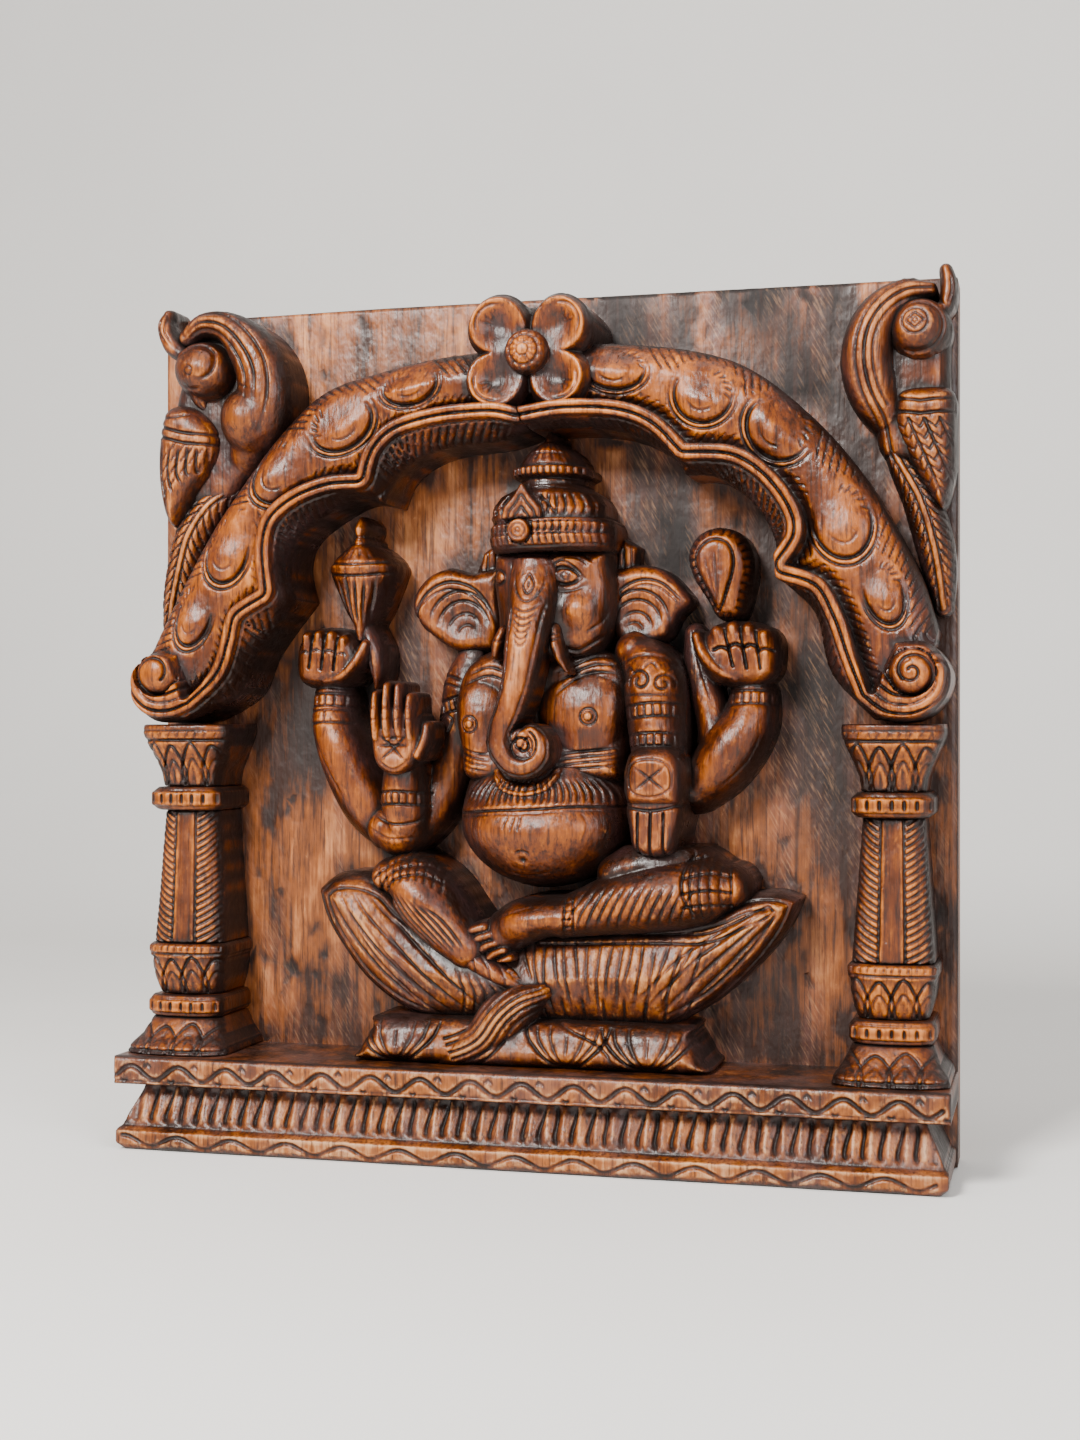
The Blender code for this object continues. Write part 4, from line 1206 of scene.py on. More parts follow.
def crown():
    """The stepped crown with its pointed plaque, and the band under it with its disc."""
    p = Patch("crown_dome", (-20, 45, 102, 154), "figure_wood")
    widths = (
        (102, 29), (106, 30.5), (113, 30), (118, 27), (122, 21), (124, 17.5), (127, 17.5),
        (128.5, 21.5), (132.5, 21.5), (134, 17.5), (137, 17), (141, 14), (145, 9), (147.5, 5),
        (150, 4.6), (153, 1.5),
    )
    fronts = (
        (102, 79), (110, 79), (118, 74), (123, 67), (127, 67), (129, 71), (132, 71), (134, 68),
        (141, 65), (147, 58), (153, 54),
    )
    column(p, 12, widths, fronts, 24)
    for x in np.arange(-20, 46, 4.1):
        bow = 0.16 * (x - 12)
        p.cut([(x, 105.5), (x + bow * 0.4, 111), (x - bow * 0.8, 118.5)], 1.25, 1.7, 4)
    p.groove([(-18, 119.5), (12, 121.5), (43, 119)], 1.1, 1.5, 5)
    for z in (126.8, 133.4):
        p.groove([(-12, z), (36, z)], 1.1, 1.8)
    for x in np.arange(-8, 33, 3.5):
        p.groove([(x, 128.2), (x, 132)], 1.1, 1.9)
    for x in (2, 7, 12, 17, 22):
        p.cut([(x, 135), (12 + (x - 12) * 0.35, 146)], 0.9, 0.9)
    p.groove([(4, 139.8), (20, 139.8)], 0.9, 1.0)
    p.groove([(7, 146.4), (17, 146.4)], 0.8, 1.2)
    plaque = curve([(-7, 104), (-6, 110), (-1, 116), (4, 123), (9, 116), (14, 110), (15, 104)], 4)
    d = p.inside(plaque)
    p.raise_to(d > 0, 79.5 + 2.2 * dome(d / 2.2))
    foot = np.array([4, 104])
    for shrink, depth in ((1.0, 1.6), (0.66, 1.2), (0.34, 1.1)):
        p.groove(foot + (plaque - foot) * shrink, 0.95, depth)
    for start, way in ((14, 1), (-7, -1)):
        p.cut([(start - way * 4, 118), (start + way * 2, 113), (start + way * 8, 106)], 1.3, 1.9, 5)
    p.finish()

    p = Patch("crown_band", (-20, 49, 88, 105), "figure_wood")
    widths = ((88, 31), (91, 33), (97, 33.5), (101, 33), (105, 31.5))
    fronts = ((88, 78), (91, 83), (96, 84), (98, 82.5), (102, 84), (105, 80))
    column(p, 14.5, widths, fronts, 27)
    for z in (91.2, 97.0, 103.2):
        p.groove([(-19, z - 0.3), (14, z - 0.8), (48, z + 0.3)], 1.0, 1.5)
    for x in np.arange(-17, 48, 3.7):
        p.groove([(x, 97.8), (x + 0.8, 100), (x + 0.4, 102.6)], 1.0, 1.7, 3)
        p.groove([(x + 1.4, 91.8), (x + 0.6, 96.2)], 1.0, 1.4)
    radius = np.hypot(p.X - 3, p.Z - 98)
    p.raise_to(radius < 6.4, 82 + 3.6 * dome((6.4 - radius) / 2.4))
    p.groove(arc(3, 98, 6.5), 1.0, 1.9)
    p.groove(arc(3, 98, 3.7), 0.8, 1.2)
    p.groove(arc(3, 98, 1.3, count=8), 0.7, 0.9)
    p.finish()


def head():
    """The head: a domed brow, one eye in view, the far one behind the trunk, and cheek folds."""
    p = Patch("elephant_head", (-19, 49, 30, 91), "figure_wood")
    d = p.inside(loop([
        (-14, 90), (-17.5, 75), (-16, 58), (-14, 45), (-4, 36), (10, 32), (26, 32), (38, 36), (45, 48),
        (48, 66), (46, 80), (43, 90), (14, 90),
    ], 4))
    p.add(d, 50 + 17 * dome(d / 12) + 6.0 * band(p.X - 7, 19))
    p.carve(-5.0 * smooth(1 - np.hypot((p.X - 30) / 15, (p.Z - 58) / 13)))
    p.carve(-4.5 * smooth(1 - np.hypot((p.X - 24) / 13, (p.Z - 85) / 7)))
    p.carve(3.0 * smooth(1 - np.hypot((p.X - 23.5) / 12, (p.Z - 75.5) / 7)))
    p.carve(-3.6 * np.sqrt(np.clip(1 - ((p.X - 23.5) / 6.4) ** 2 - ((p.Z - 75.5) / 3.6) ** 2, 0, 1)))
    for lift, wide in ((4.4, 8.6), (7.2, 10.5)):
        lid = [(23.5 - wide, 74), (19, 75 + lift), (25, 75.4 + lift), (23.5 + wide, 74)]
        p.cut(lid, 1.0, 1.5, 6)
    p.cut([(16, 74), (21, 71.4), (27, 71.6), (32, 74)], 1.0, 1.3, 5)
    p.cut([(14, 71), (21, 67.8), (29, 68.2), (35, 71)], 0.9, 0.8, 5)
    p.groove(arc(23.8, 75.6, 2.0, count=10), 0.7, 0.7)
    p.cut([(15, 83.5), (22, 87.5), (31, 87), (39, 81.5)], 1.2, 1.4, 6)
    p.cut([(16, 81), (23, 84.6), (31, 84), (37, 79.5)], 0.8, 0.8, 6)
    p.carve(-2.6 * np.sqrt(np.clip(1 - ((p.X + 12.5) / 4.0) ** 2 - ((p.Z - 75.5) / 3.4) ** 2, 0, 1)))
    p.cut([(-17, 77), (-12.5, 80), (-8, 76)], 0.9, 1.3, 5)
    p.cut([(-17, 74), (-12.5, 71.5), (-8, 74)], 0.9, 1.2, 5)
    for drop in (0, 4.2, 8.4):
        p.cut([(18, 41 - drop), (28, 37 - drop), (37, 41 - drop), (45, 47 - drop)], 1.4, 1.9, 5)
    p.cut([(34, 46), (42, 52), (46, 60)], 1.1, 1.2, 5)
    for k in range(4):
        p.groove([(-2.5, 88.2 - 2.4 * k), (14.5, 88.0 - 2.4 * k)], 0.8, 1.1)
    p.cut([(-3, 89.5), (-4, 76)], 0.9, 1.0)
    p.cut([(15.5, 89.5), (17, 74)], 0.9, 1.0)
    p.rough(0.16, 10, 12)
    p.finish()


def trunk():
    """The trunk, which hangs down and curls up into a spiral, and the two tusks."""
    p = Patch("trunk", (-17, 26, -31, 82), "figure_wood", back=58.0)
    route = [
        (6.8, 82, 13.5, 62, 12), (7, 70, 13.6, 65, 14), (6.8, 56, 12.2, 70, 15), (5, 40, 10.6, 76, 13),
        (2.6, 22, 9.0, 80, 11), (-1.6, 7, 8.0, 82, 9.5), (-6.2, -5, 7.4, 82, 9),
        (-6.0, -14, 7.2, 82, 9), (0.4, -21.4, 7.0, 82, 9), (8.8, -22.2, 6.6, 82, 8.6),
        (14.6, -17, 6.0, 82, 8), (14.6, -9.4, 5.2, 81, 7.6), (10.0, -5.0, 4.4, 81, 6.6),
        (5.4, -7.0, 3.6, 80, 5.8), (4.4, -11.4, 3.0, 79, 5.4),
    ]
    line = p.limb(route)
    disc = np.hypot(p.X - 5.6, p.Z + 12.4)
    p.add(9.5 - disc, 84 + 3.0 * dome((9.5 - disc) / 5))
    half = line.extra[0]
    down = line.s > 18
    p.carve(1.3 * band(line.d - 0.66 * half, 1.0) * down * smooth((line.s - 18) / 14))
    rings = smooth(1 - np.abs(((line.s / 5.0) % 1) - 0.5) * 2 / 0.42)
    p.carve(0.9 * rings * smooth((line.d - 0.68 * half) / 1.2) * (line.s > 62))
    p.groove(spiral(5.8, -12.4, 8.6, 1.6, 60, -560, 50), 1.1, 2.4)
    for k, z in enumerate((57, 53.2, 49.6, 46.2, 42.8, 39.6)):
        w, cx = 7.4 - 0.75 * k, 6.6 - 0.25 * k
        p.cut([
            (cx - w, z + 3.2), (cx - w * 0.5, z + 0.4), (cx, z - 0.6), (cx + w * 0.5, z + 0.4),
            (cx + w, z + 3.2),
        ], 1.0, 1.2, 5)
    brow = [(-1, 78.5), (-0.4, 70), (3, 63.6), (7, 61.6), (11, 63.6), (14.4, 70), (15, 78.5)]
    p.cut(brow, 1.0, 1.2, 6)
    drop_mark = [(7, 76.5), (4.1, 70.4), (7, 65.6), (9.9, 70.4), (7, 76.5)]
    p.groove(drop_mark, 0.85, 1.2, 6)
    p.cut([(7, 72.5), (7, 68.5)], 0.8, 0.9)
    for way in (-1, 1):
        p.cut([(7 + way * 9.5, 62), (7 + way * 8.2, 56), (5.6 + way * 7, 48)], 0.9, 1.0, 5)
    p.rough(0.1, 8, 14)
    p.finish()

    p = Patch("right_tusk", (12, 31, 22, 51), "figure_wood", back=52.0)
    p.limb([
        (18.2, 48, 4.4, 62, 11), (19.6, 40, 4.4, 64, 11), (22.4, 32.5, 3.2, 65, 11),
        (26.4, 25.6, 1.3, 66, 9),
    ])
    p.cut([(14, 44), (18.5, 42), (23.5, 44.5)], 0.9, 1.1, 5)
    p.cut([(14.5, 46.5), (18.5, 45), (23, 47)], 0.8, 0.9, 5)
    p.finish()
    p = Patch("left_tusk", (-18, -3, 29, 51), "figure_wood", back=52.0)
    p.limb([(-9, 47.5, 3.6, 62, 11), (-11.2, 41, 4.2, 64, 11), (-13, 35, 3.0, 64, 9)])
    p.cut([(-14, 43.5), (-10.5, 41.8), (-7, 43.6)], 0.9, 1.2, 5)
    p.finish()


def ear(node, box, outline, hollow, rim, folds, rings, flap, rise, pleats):
    """A fan-shaped ear with a ringed hollow, and a pleated cloth end standing over it.

    hollow is (x, z, half width, half height); folds are (shrink, shift) of the rim line
    with the width and depth of their cuts; rings are (x, z, radius, start, end).
    """
    p = Patch(node, box, "figure_wood")
    d = p.inside(loop(outline, 4))
    cx, cz, rx, rz = hollow
    cup = np.hypot((p.X - cx) / rx, (p.Z - cz) / rz)
    p.add(d, 39 + 10 * dome(d / 7) - 3.2 * smooth(1.05 - cup))
    rim = curve(rim, 6)
    for shrink, shift, width, depth in folds:
        p.cut(rim * shrink + shift, width, depth)
    for k, (x, z, r, start, end) in enumerate(rings):
        p.cut(arc(x, z, r, r * 1.1, start, end, 16), 1.2, 1.7 - 0.2 * k)
    p.pillow(flap, 33, rise, 4)
    for foot, tip in pleats:
        p.cut([foot, tip], 1.0, 1.4)
    p.rough(0.16, 14, 8)
    p.finish()


def ears():
    """Both ears; the right one is partly turned away."""
    ear(
        "left_ear", (-72, -14, 34, 97),
        [
            (-16, 80), (-24, 81.5), (-34, 80), (-46, 83), (-59, 78), (-67, 66), (-64, 54),
            (-54, 45), (-43, 38.5), (-30, 38), (-18, 42),
        ],
        (-40, 58, 22, 20),
        [(-62, 50), (-65, 62), (-58, 74), (-46, 79.5), (-33, 76), (-24, 66), (-20, 55)],
        ((1.0, (1.0, -4.4), 1.5, 2.0), (0.97, (-1.6, -6.0), 1.0, 1.1)),
        [
            (-39 + 1.2 * k, 51 - 1.6 * k, r, 20 + 6 * k, 168)
            for k, r in enumerate((17.5, 14.2, 9.6, 5.4))
        ],
        [(-18, 76), (-17, 88), (-22, 96), (-29, 91), (-33, 80), (-30, 74)], 9,
        [((x, 79), (x + 0.4, 92)) for x in (-21, -25.5, -30)],
    )
    ear(
        "right_ear", (40, 87, 36, 97),
        [
            (42, 78), (50, 81), (60, 82.5), (72, 79), (82, 69.5), (86, 62), (79, 55), (73, 44),
            (62, 39.5), (50, 40), (43, 50),
        ],
        (60, 58, 20, 17),
        [(44, 66), (50, 74), (60, 78), (71, 75.5), (83, 64)],
        ((1.0, (0.3, -3.6), 1.5, 2.0), (1.0, (0.2, -6.4), 1.0, 1.1)),
        [
            (58 - 0.8 * k, 51 - 1.4 * k, r, 10, 160 - 6 * k)
            for k, r in enumerate((16.5, 13.2, 8.8, 5.0))
        ],
        [(42, 74), (42, 88), (49, 97), (57, 92), (56, 80), (50, 74)], 10,
        [((x, 80), (x - 0.4, 93)) for x in (45.5, 49.5, 53.5)],
    )


# Body, arms, and what the hands hold


def torso():
    """The chest with its necklaces, and the belly under its pleated cloth and collar."""
    p = Patch("chest", (-42, 58, -34, 43), "figure_wood")
    d = p.inside(loop([
        (-39, 20), (-31, 33), (-16, 39), (8, 38), (30, 39), (47, 35), (56, 20), (55, 0), (53, -20),
        (49, -31), (8, -32), (-29, -31), (-36, -16), (-40, 2),
    ], 4))
    p.add(d, 44 + 15 * dome(d / 12) + 9 * smooth((-4 - p.Z) / 22))
    p.carve(-6.5 * np.clip(1 - ((p.X + 26) / 18) ** 2 - ((p.Z - 2) / 19) ** 2, 0, 1) ** 0.8)
    p.carve(-7.5 * np.clip(1 - ((p.X - 32) / 25) ** 2 - ((p.Z - 5) / 20) ** 2, 0, 1) ** 0.8)
    for cx, cz in ((-29, -1), (35.5, 3)):
        radius = np.hypot(p.X - cx, p.Z - cz)
        p.carve(-1.6 * dome((2.4 - radius) / 2.0) * (radius < 2.4))
        p.groove(arc(cx, cz, 4.4, count=16), 1.0, 1.3)
        p.groove(arc(cx, cz, 2.5, count=12), 0.7, 0.9)
    for lift in (0, 4, 8):
        p.cut([(17, 14 + lift * 1.5), (27, 22 + lift), (38, 26 + lift), (50, 25 + lift)], 1.2, 1.5, 6)
    p.cut([(-10, 26), (-20, 29), (-31, 25)], 1.2, 1.4, 5)
    p.cut([(-9, 21), (-20, 24.5), (-33, 20)], 1.1, 1.2, 5)
    for k in range(4):
        z = -15.6 - 2.9 * k
        p.cut([(17, z - 1.5), (30, z + 0.4), (44, z + 1.6), (52, z + 2.8)], 1.1, 1.4, 5)
        p.cut([(-34, z + 2.4), (-27, z), (-18, z - 1.5)], 1.0, 1.2, 5)
    p.rough(0.16, 14, 12)
    p.finish()

    p = Patch("belly", (-38, 56, -86, -24), "figure_wood")
    cx, cz, rx, rz = 9.5, -54.5, 46.5, 31.5
    outline = loop([
        (-27, -25), (10, -23), (46, -25), (54, -33), (56.5, -48), (52, -66), (36, -80), (10, -87),
        (-16, -81), (-32, -67), (-37.5, -50), (-35, -34),
    ], 4)
    u, v = (p.X - cx) / rx, (p.Z - cz - 6) / (rz + 6)
    r = np.sqrt(u * u + np.where(v > 0, 0.3, 1.0) * v * v)
    round_top = 16 * smooth((p.Z + 60) / 40)
    p.add(p.inside(outline), 50 + 37.5 * np.clip(1 - r**2.3, 0, 1) ** 0.55 - round_top)
    seam = curve([(-33, -47.5), (-12, -45.6), (10, -44.6), (32, -43.2), (53, -44)], 6)
    band = p.line(seam)
    above = p.Z > np.interp(p.X, seam[:, 0], seam[:, 1])
    p.carve(-0.8 * smooth(band.d / 2.0) * above)
    p.groove(seam, 1.0, 1.6)
    p.groove(seam + (0, -2.1), 0.7, 0.8)
    for x in np.arange(-31, 52, 3.7):
        lean = (x - cx) * 0.20
        wave = 1.0 if x > cx else -1.0
        p.cut([(x - lean, -29.5), (x - lean * 0.3 + wave, -36), (x + 0.6 * wave, -42.6)], 1.2, 1.6, 4)
    for way, drop in ((0.0, 0), (3.4, 1), (-3.2, 1.5)):
        p.cut([(1 + way, -47.5), (-1.4 + way * 1.3, -57 + drop)], 0.8, 0.9)
    p.cut([(34, -46), (38, -52), (36, -60)], 1.0, 0.7, 5)
    p.cut(arc(4.6, -69, 4.4, 3.2, 20, 160, 10), 1.1, 1.3)
    radius = np.hypot(p.X - 4.6, (p.Z + 70.5) / 0.8)
    p.carve(2.2 * smooth(1 - radius / 2.8))
    p.cut([(-8, -76), (5, -79), (20, -76)], 0.9, 0.7, 5)
    collar = curve([(-13, -25.5), (-8, -31), (3.5, -33.6), (15, -31), (21, -24.5)], 6)
    for shift, size in ((0, 2.0), (-3.1, 1.3)):
        line = p.line(collar + (0, shift))
        p.carve(-2.4 * dome(1 - line.d / size) * (line.d < size))
    for x in np.arange(-9, 19, 2.7):
        z = np.interp(x, collar[:, 0], collar[:, 1])
        p.cut([(x, z - 1.6), (x, z + 1.6)], 0.6, 0.8)
    p.rough(0.2, 16, 10)
    p.finish()


def armlet(p, cx, cz, half, tilt=0.0, beads=5):
    """A double ring round a limb, with beads between its border cuts."""
    c, s = math.cos(math.radians(tilt)), math.sin(math.radians(tilt))

    def at(u, v):
        bow = -0.035 * u * u / max(half, 1) * 3
        return (cx + u * c - (v + bow) * s, cz + u * s + (v + bow) * c)

    for v in (-3.4, 3.4):
        p.groove([at(u, v) for u in np.linspace(-half, half, 7)], 1.2, 1.8)
    for u in np.linspace(-half, half, beads + 2)[1:-1]:
        p.groove([at(u, -2.4), at(u, 2.4)], 1.0, 1.5)


def front_arms():
    """The raised open hand on the left, and the hanging hand on the right."""
    p = Patch("left_front_arm", (-100, -30, -72, 40), "figure_wood")
    p.limb([
        (-34, 33, 11, 34, 12), (-38, 20, 13, 35, 15), (-41, 2, 13, 34, 15), (-46, -20, 13, 34, 15),
        (-56, -42, 15, 38, 18), (-66, -54, 15, 44, 18),
    ])
    p.limb([
        (-78, -56, 13, 44, 20), (-70, -58, 14.5, 46, 22), (-67, -48, 14.5, 50, 22),
        (-66.5, -36, 12.8, 54, 20), (-66, -26, 11.5, 56, 18),
    ], blend=2)
    armlet(p, -67, -39.5, 14, 0, 6)
    p.cut([(-84, -48), (-74, -53), (-60, -53), (-52, -48)], 1.4, 1.6, 6)
    p.cut([(-86, -55), (-74, -61), (-60, -61)], 1.0, 0.9, 6)
    armlet(p, -41, 10, 12, 12, 5)
    p.cut([(-54, 20), (-47, 25), (-37, 22)], 1.3, 1.6, 5)
    p.cut([(-52, 16), (-47, 20.5), (-38, 18)], 1.0, 1.2, 5)
    leaf = [(-52, 0), (-47, -6), (-43, 1), (-47, 4), (-52, 0)]
    p.groove(leaf, 1.1, 1.4, 5)
    p.rough(0.2, 12, 14)
    p.finish()

    p = Patch("left_front_hand", (-83, -46, -32, 22), "figure_wood", back=50.0)
    palm = loop([
        (-79.5, 2), (-79.5, -14), (-76, -24), (-66, -28.5), (-57, -24), (-52, -14), (-51.5, -4),
        (-53, 4), (-60, 9), (-66, 10.5), (-73, 9),
    ], 4)
    p.pillow(palm, 68, 12, 6)
    for x, top in ((-75.4, 14.5), (-69.2, 19), (-62.8, 18.5), (-56.6, 13)):
        p.limb([
            (x, -8, 3.3, 70, 12), (x - 0.3, 4, 3.4, 71, 13), (x - 0.6, top, 3.0, 69, 12),
        ], blend=0.6)
    p.carve(2.4 * smooth(1 - np.hypot((p.X + 66) / 11, (p.Z + 11) / 9)))
    for x in (-72.4, -65.8, -59.4):
        p.groove([(x + 0.4, -3), (x, 8), (x - 0.4, 16)], 1.0, 1.6)
    for x in (-75.8, -69, -62.6, -56):
        for z in (2, 8):
            p.cut([(x - 2.4, z), (x, z - 0.6), (x + 2.4, z)], 0.8, 0.9)
    p.limb([(-53.5, -17, 3.6, 70, 9), (-50.0, -9, 3.4, 69, 9), (-49.4, -2, 2.8, 68, 8)], blend=0.8)
    cross = [
        [(-74, -6), (-58, -21)], [(-58, -6), (-74, -21)], [(-75, -12), (-57, -12)],
        [(-72, -8), (-60, -8)],
    ]
    for stroke in cross:
        p.cut(stroke, 0.9, 1.3)
    p.cut([(-75, -19), (-66, -24.5), (-57, -19)], 1.1, 1.3, 5)
    p.rough(0.12, 8, 8)
    p.finish()

    p = Patch("right_front_arm", (42, 92, -20, 46), "figure_wood")
    p.limb([
        (56, 37, 11, 42, 18), (66, 25, 16, 46, 26), (68.5, 8, 16.2, 48, 27), (70, -8, 15.4, 50, 27),
        (71, -17, 14.4, 52, 26),
    ])
    p.cut([(52, 30), (62, 34), (74, 33), (82, 27)], 1.3, 1.6, 6)
    armlet(p, 69, 6.5, 15, 4, 6)
    armlet(p, 70, -8.6, 15, 2, 6)
    p.groove(spiral(64, 21, 6.4, 1.6, 200, -430), 1.2, 1.9)
    p.groove(spiral(75.5, 19.5, 5.4, 1.4, -20, 430), 1.2, 1.9)
    for x, z in ((57, 26), (69, 28.5), (80, 26)):
        p.cut([(x - 4, z - 2), (x, z + 2), (x + 4, z - 2)], 1.1, 1.4, 4)
    p.groove([(54, 14), (83, 14)], 1.0, 1.3)
    p.rough(0.18, 10, 12)
    p.finish()

    p = Patch("right_front_hand", (52, 92, -70, -10), "figure_wood")
    block = loop([
        (57, -22), (61, -14), (72, -12), (83, -14), (88, -24), (87, -37), (84, -42.5), (70, -43.5),
        (59, -42), (56, -32),
    ], 4)
    p.pillow(block, 70, 17, 9)
    fingers = loop([
        (57.5, -40), (58.5, -55), (61, -65), (71, -69), (81, -66.5), (84.5, -56), (86, -40), (72, -36),
    ], 4)
    p.pillow(fingers, 68, 13.5, 7, blend=0.5)
    for x in (64.6, 71.2, 77.8):
        p.groove([(x, -46), (x - 0.3, -58), (x - 0.6, -70)], 1.2, 2.6)
    p.groove([(56, -42.5), (71, -44.6), (86, -42)], 1.3, 2.0, 5)
    square = loop([(62, -22), (72, -18.5), (81, -22), (82, -33), (72, -37.5), (62, -34)], 5)
    p.groove(np.vstack([square, square[:1]]), 1.0, 1.1)
    for stroke in ([(64.5, -22.5), (80, -34.5)], [(80, -21.5), (64, -34.5)]):
        p.cut(stroke, 1.0, 1.4)
    for x in (61.5, 66, 70.6, 76, 80.5):
        p.cut([(x, -46), (x - 0.4, -58)], 0.55, 0.4)
    p.rough(0.14, 8, 12)
    p.finish()


def fist(p, block, knuckles, thumb):
    """A closed hand: a rounded block parted into fingers, with the thumb laid over."""
    p.pillow(loop(block, 4), 42, 18, 9, blend=1)
    for knuckle in knuckles:
        (ax, az), (bx, bz) = knuckle[0], knuckle[-1]
        p.limb([(ax, az, 4.3, 48, 13.5), (bx, bz, 3.9, 46, 12)], blend=1.2)
    for one, two in zip(knuckles, knuckles[1:]):
        gap = [((a[0] + b[0]) / 2, (a[1] + b[1]) / 2) for a, b in zip(one, two)]
        p.groove(gap, 1.2, 2.6)
    p.limb(thumb, blend=0.5)


def rear_arms():
    """The two upper arms, whose hands hold the mace and the paddle."""
    p = Patch("left_rear_arm", (-134, -78, -66, 54), "figure_wood")
    p.limb([
        (-112, 12, 13, 36, 19), (-111, 0, 14, 36, 23), (-106, -14, 16, 36, 26),
        (-99, -30, 16.5, 36, 26), (-90, -46, 16, 36, 24), (-80, -58, 13, 36, 20),
    ])
    fist(
        p,
        [(-130, 24), (-130, 42), (-121, 51), (-104, 51), (-94, 45), (-92, 30), (-99, 20), (-120, 18)],
        [
            ((-122, 46), (-124, 30)), ((-115, 47), (-117, 29)), ((-108, 46.5), (-110, 28.5)),
            ((-101, 44), (-103, 28)),
        ],
        [
            (-90, 42, 4, 44, 14), (-94, 33, 4.6, 46, 15), (-102, 25, 4.2, 47, 14),
            (-112, 22.5, 3.4, 47, 12),
        ],
    )
    for x, z in ((-123, 37), (-116, 38), (-109, 37.5), (-102, 36)):
        p.cut([(x - 3, z), (x, z + 1.4), (x + 3, z)], 0.9, 1.2, 4)
    armlet(p, -113, 12.5, 15, 0, 5)
    armlet(p, -112.5, 3.6, 14, 2, 1)
    p.cut([(-120, -6), (-112, -22), (-101, -40)], 1.1, 0.8, 6)
    p.rough(0.22, 14, 14)
    p.finish()

    p = Patch("right_rear_arm", (76, 137, -46, 70), "figure_wood")
    p.limb([
        (117, 12, 13, 36, 19), (115, 0, 15, 36, 24), (108, -12, 16.5, 36, 27), (99, -24, 16, 36, 26),
        (88, -34, 14, 36, 22),
    ])
    p.limb([
        (86, 46, 6, 34, 8), (88, 32, 8, 35, 11), (92, 16, 9, 36, 13), (96, 0, 9, 36, 15),
        (97, -14, 8, 38, 16),
    ], blend=2.5)
    fist(
        p, [(92, 28), (93, 45), (104, 52), (122, 51), (132, 44), (132, 26), (122, 18), (101, 19)],
        [
            ((101, 46), (106, 29)), ((109, 48), (113, 28)), ((117, 47.5), (120, 27)),
            ((125, 44), (127, 27)),
        ],
        [(90, 44, 4, 44, 14), (94, 35, 4.8, 46, 16), (101, 27, 4.4, 48, 14), (110, 22.5, 3.6, 47, 12)],
    )
    for x, z in ((103.5, 37), (111, 38.5), (118.5, 38), (126, 36)):
        p.groove([(x - 3.6, z), (x, z + 1.4), (x + 3.6, z)], 1.5, 2.6, 4)
    armlet(p, 118, 13, 14, 0, 5)
    p.cut([(84, 50), (90, 30), (97, 8)], 1.0, 0.9, 6)
    p.cut([(124, -4), (116, -20), (102, -34)], 1.0, 0.7, 6)
    p.rough(0.2, 14, 14)
    p.finish()


def held_things():
    """The bud-shaped mace and the leaf-shaped paddle."""
    p = Patch("bud_mace", (-116, -70, 18, 114), "figure_wood")
    widths = (
        (44, 4.5), (52, 6), (60, 11), (70, 15.5), (78, 18.6), (81, 19.6), (84, 19.6), (88, 17.4),
        (93, 12), (96, 6.4), (98, 6.4), (100, 4.4), (103, 5.6), (107, 5.4), (111, 2.0),
    )
    fronts = ((44, 54), (60, 60), (78, 63), (84, 64), (92, 60), (98, 56), (104, 57), (111, 52))
    column(p, -93.5, widths, fronts, 22)
    for z in (79.4, 85.2):
        p.groove([(-115, z + 1.2), (-93.5, z - 1.0), (-73, z + 1.2)], 1.1, 1.7, 5)
    for u in np.linspace(-0.86, 0.86, 7):
        p.cut([(-93.5 + 18 * u, 77.5), (-93.5 + 15 * u, 68), (-93.5 + 6.5 * u, 51)], 1.3, 1.8, 5)
    for u in np.linspace(-0.8, 0.8, 6):
        p.cut([(-93.5 + 16 * u, 87.2), (-93.5 + 10 * u, 92.5)], 0.8, 0.8)
    for z in (95.4, 99.6):
        p.groove([(-101, z), (-86, z)], 0.9, 1.4)
    p.limb([
        (-91, 50, 5, 40, 13), (-87, 38, 6.5, 40, 14), (-85.5, 26, 4.5, 40, 12), (-87, 19, 2, 38, 9),
    ], blend=0.5)
    p.cut([(-92, 48), (-88, 36), (-87, 24)], 1.0, 1.2, 5)
    p.rough(0.14, 8, 14)
    p.finish()

    p = Patch("leaf_paddle", (82, 122, 46, 103), "figure_wood")
    outline = loop([
        (101, 100.5), (90, 97), (84.5, 87), (87, 75), (95, 62), (101, 53), (112, 53), (117, 66),
        (119, 82), (113, 96),
    ], 4)
    d = p.pillow(outline, 44, 14, 9)
    ring = p.line(np.vstack([outline, outline[:1]]))
    teeth = waves(ring.s, 4.6, 2)
    p.carve(1.8 * teeth * (d < 4.5) * smooth(d / 1.0))
    inner = loop([
        (99, 93.5), (92, 89), (90, 81), (95, 69), (101.5, 57), (107, 70), (109.5, 82), (106.5, 91),
    ], 5)
    di = p.inside(inner)
    p.carve(-2.2 * dome(di / 4) * (di > 0))
    p.groove(np.vstack([inner, inner[:1]]), 1.2, 2.0)
    p.cut([(100, 89), (101.5, 62)], 0.9, 0.9)
    p.cut([(95, 86), (97.5, 74), (101, 63)], 0.8, 0.7, 5)
    p.rough(0.14, 8, 14)
    p.finish()


# Crossed legs, lotus cushion and its petals


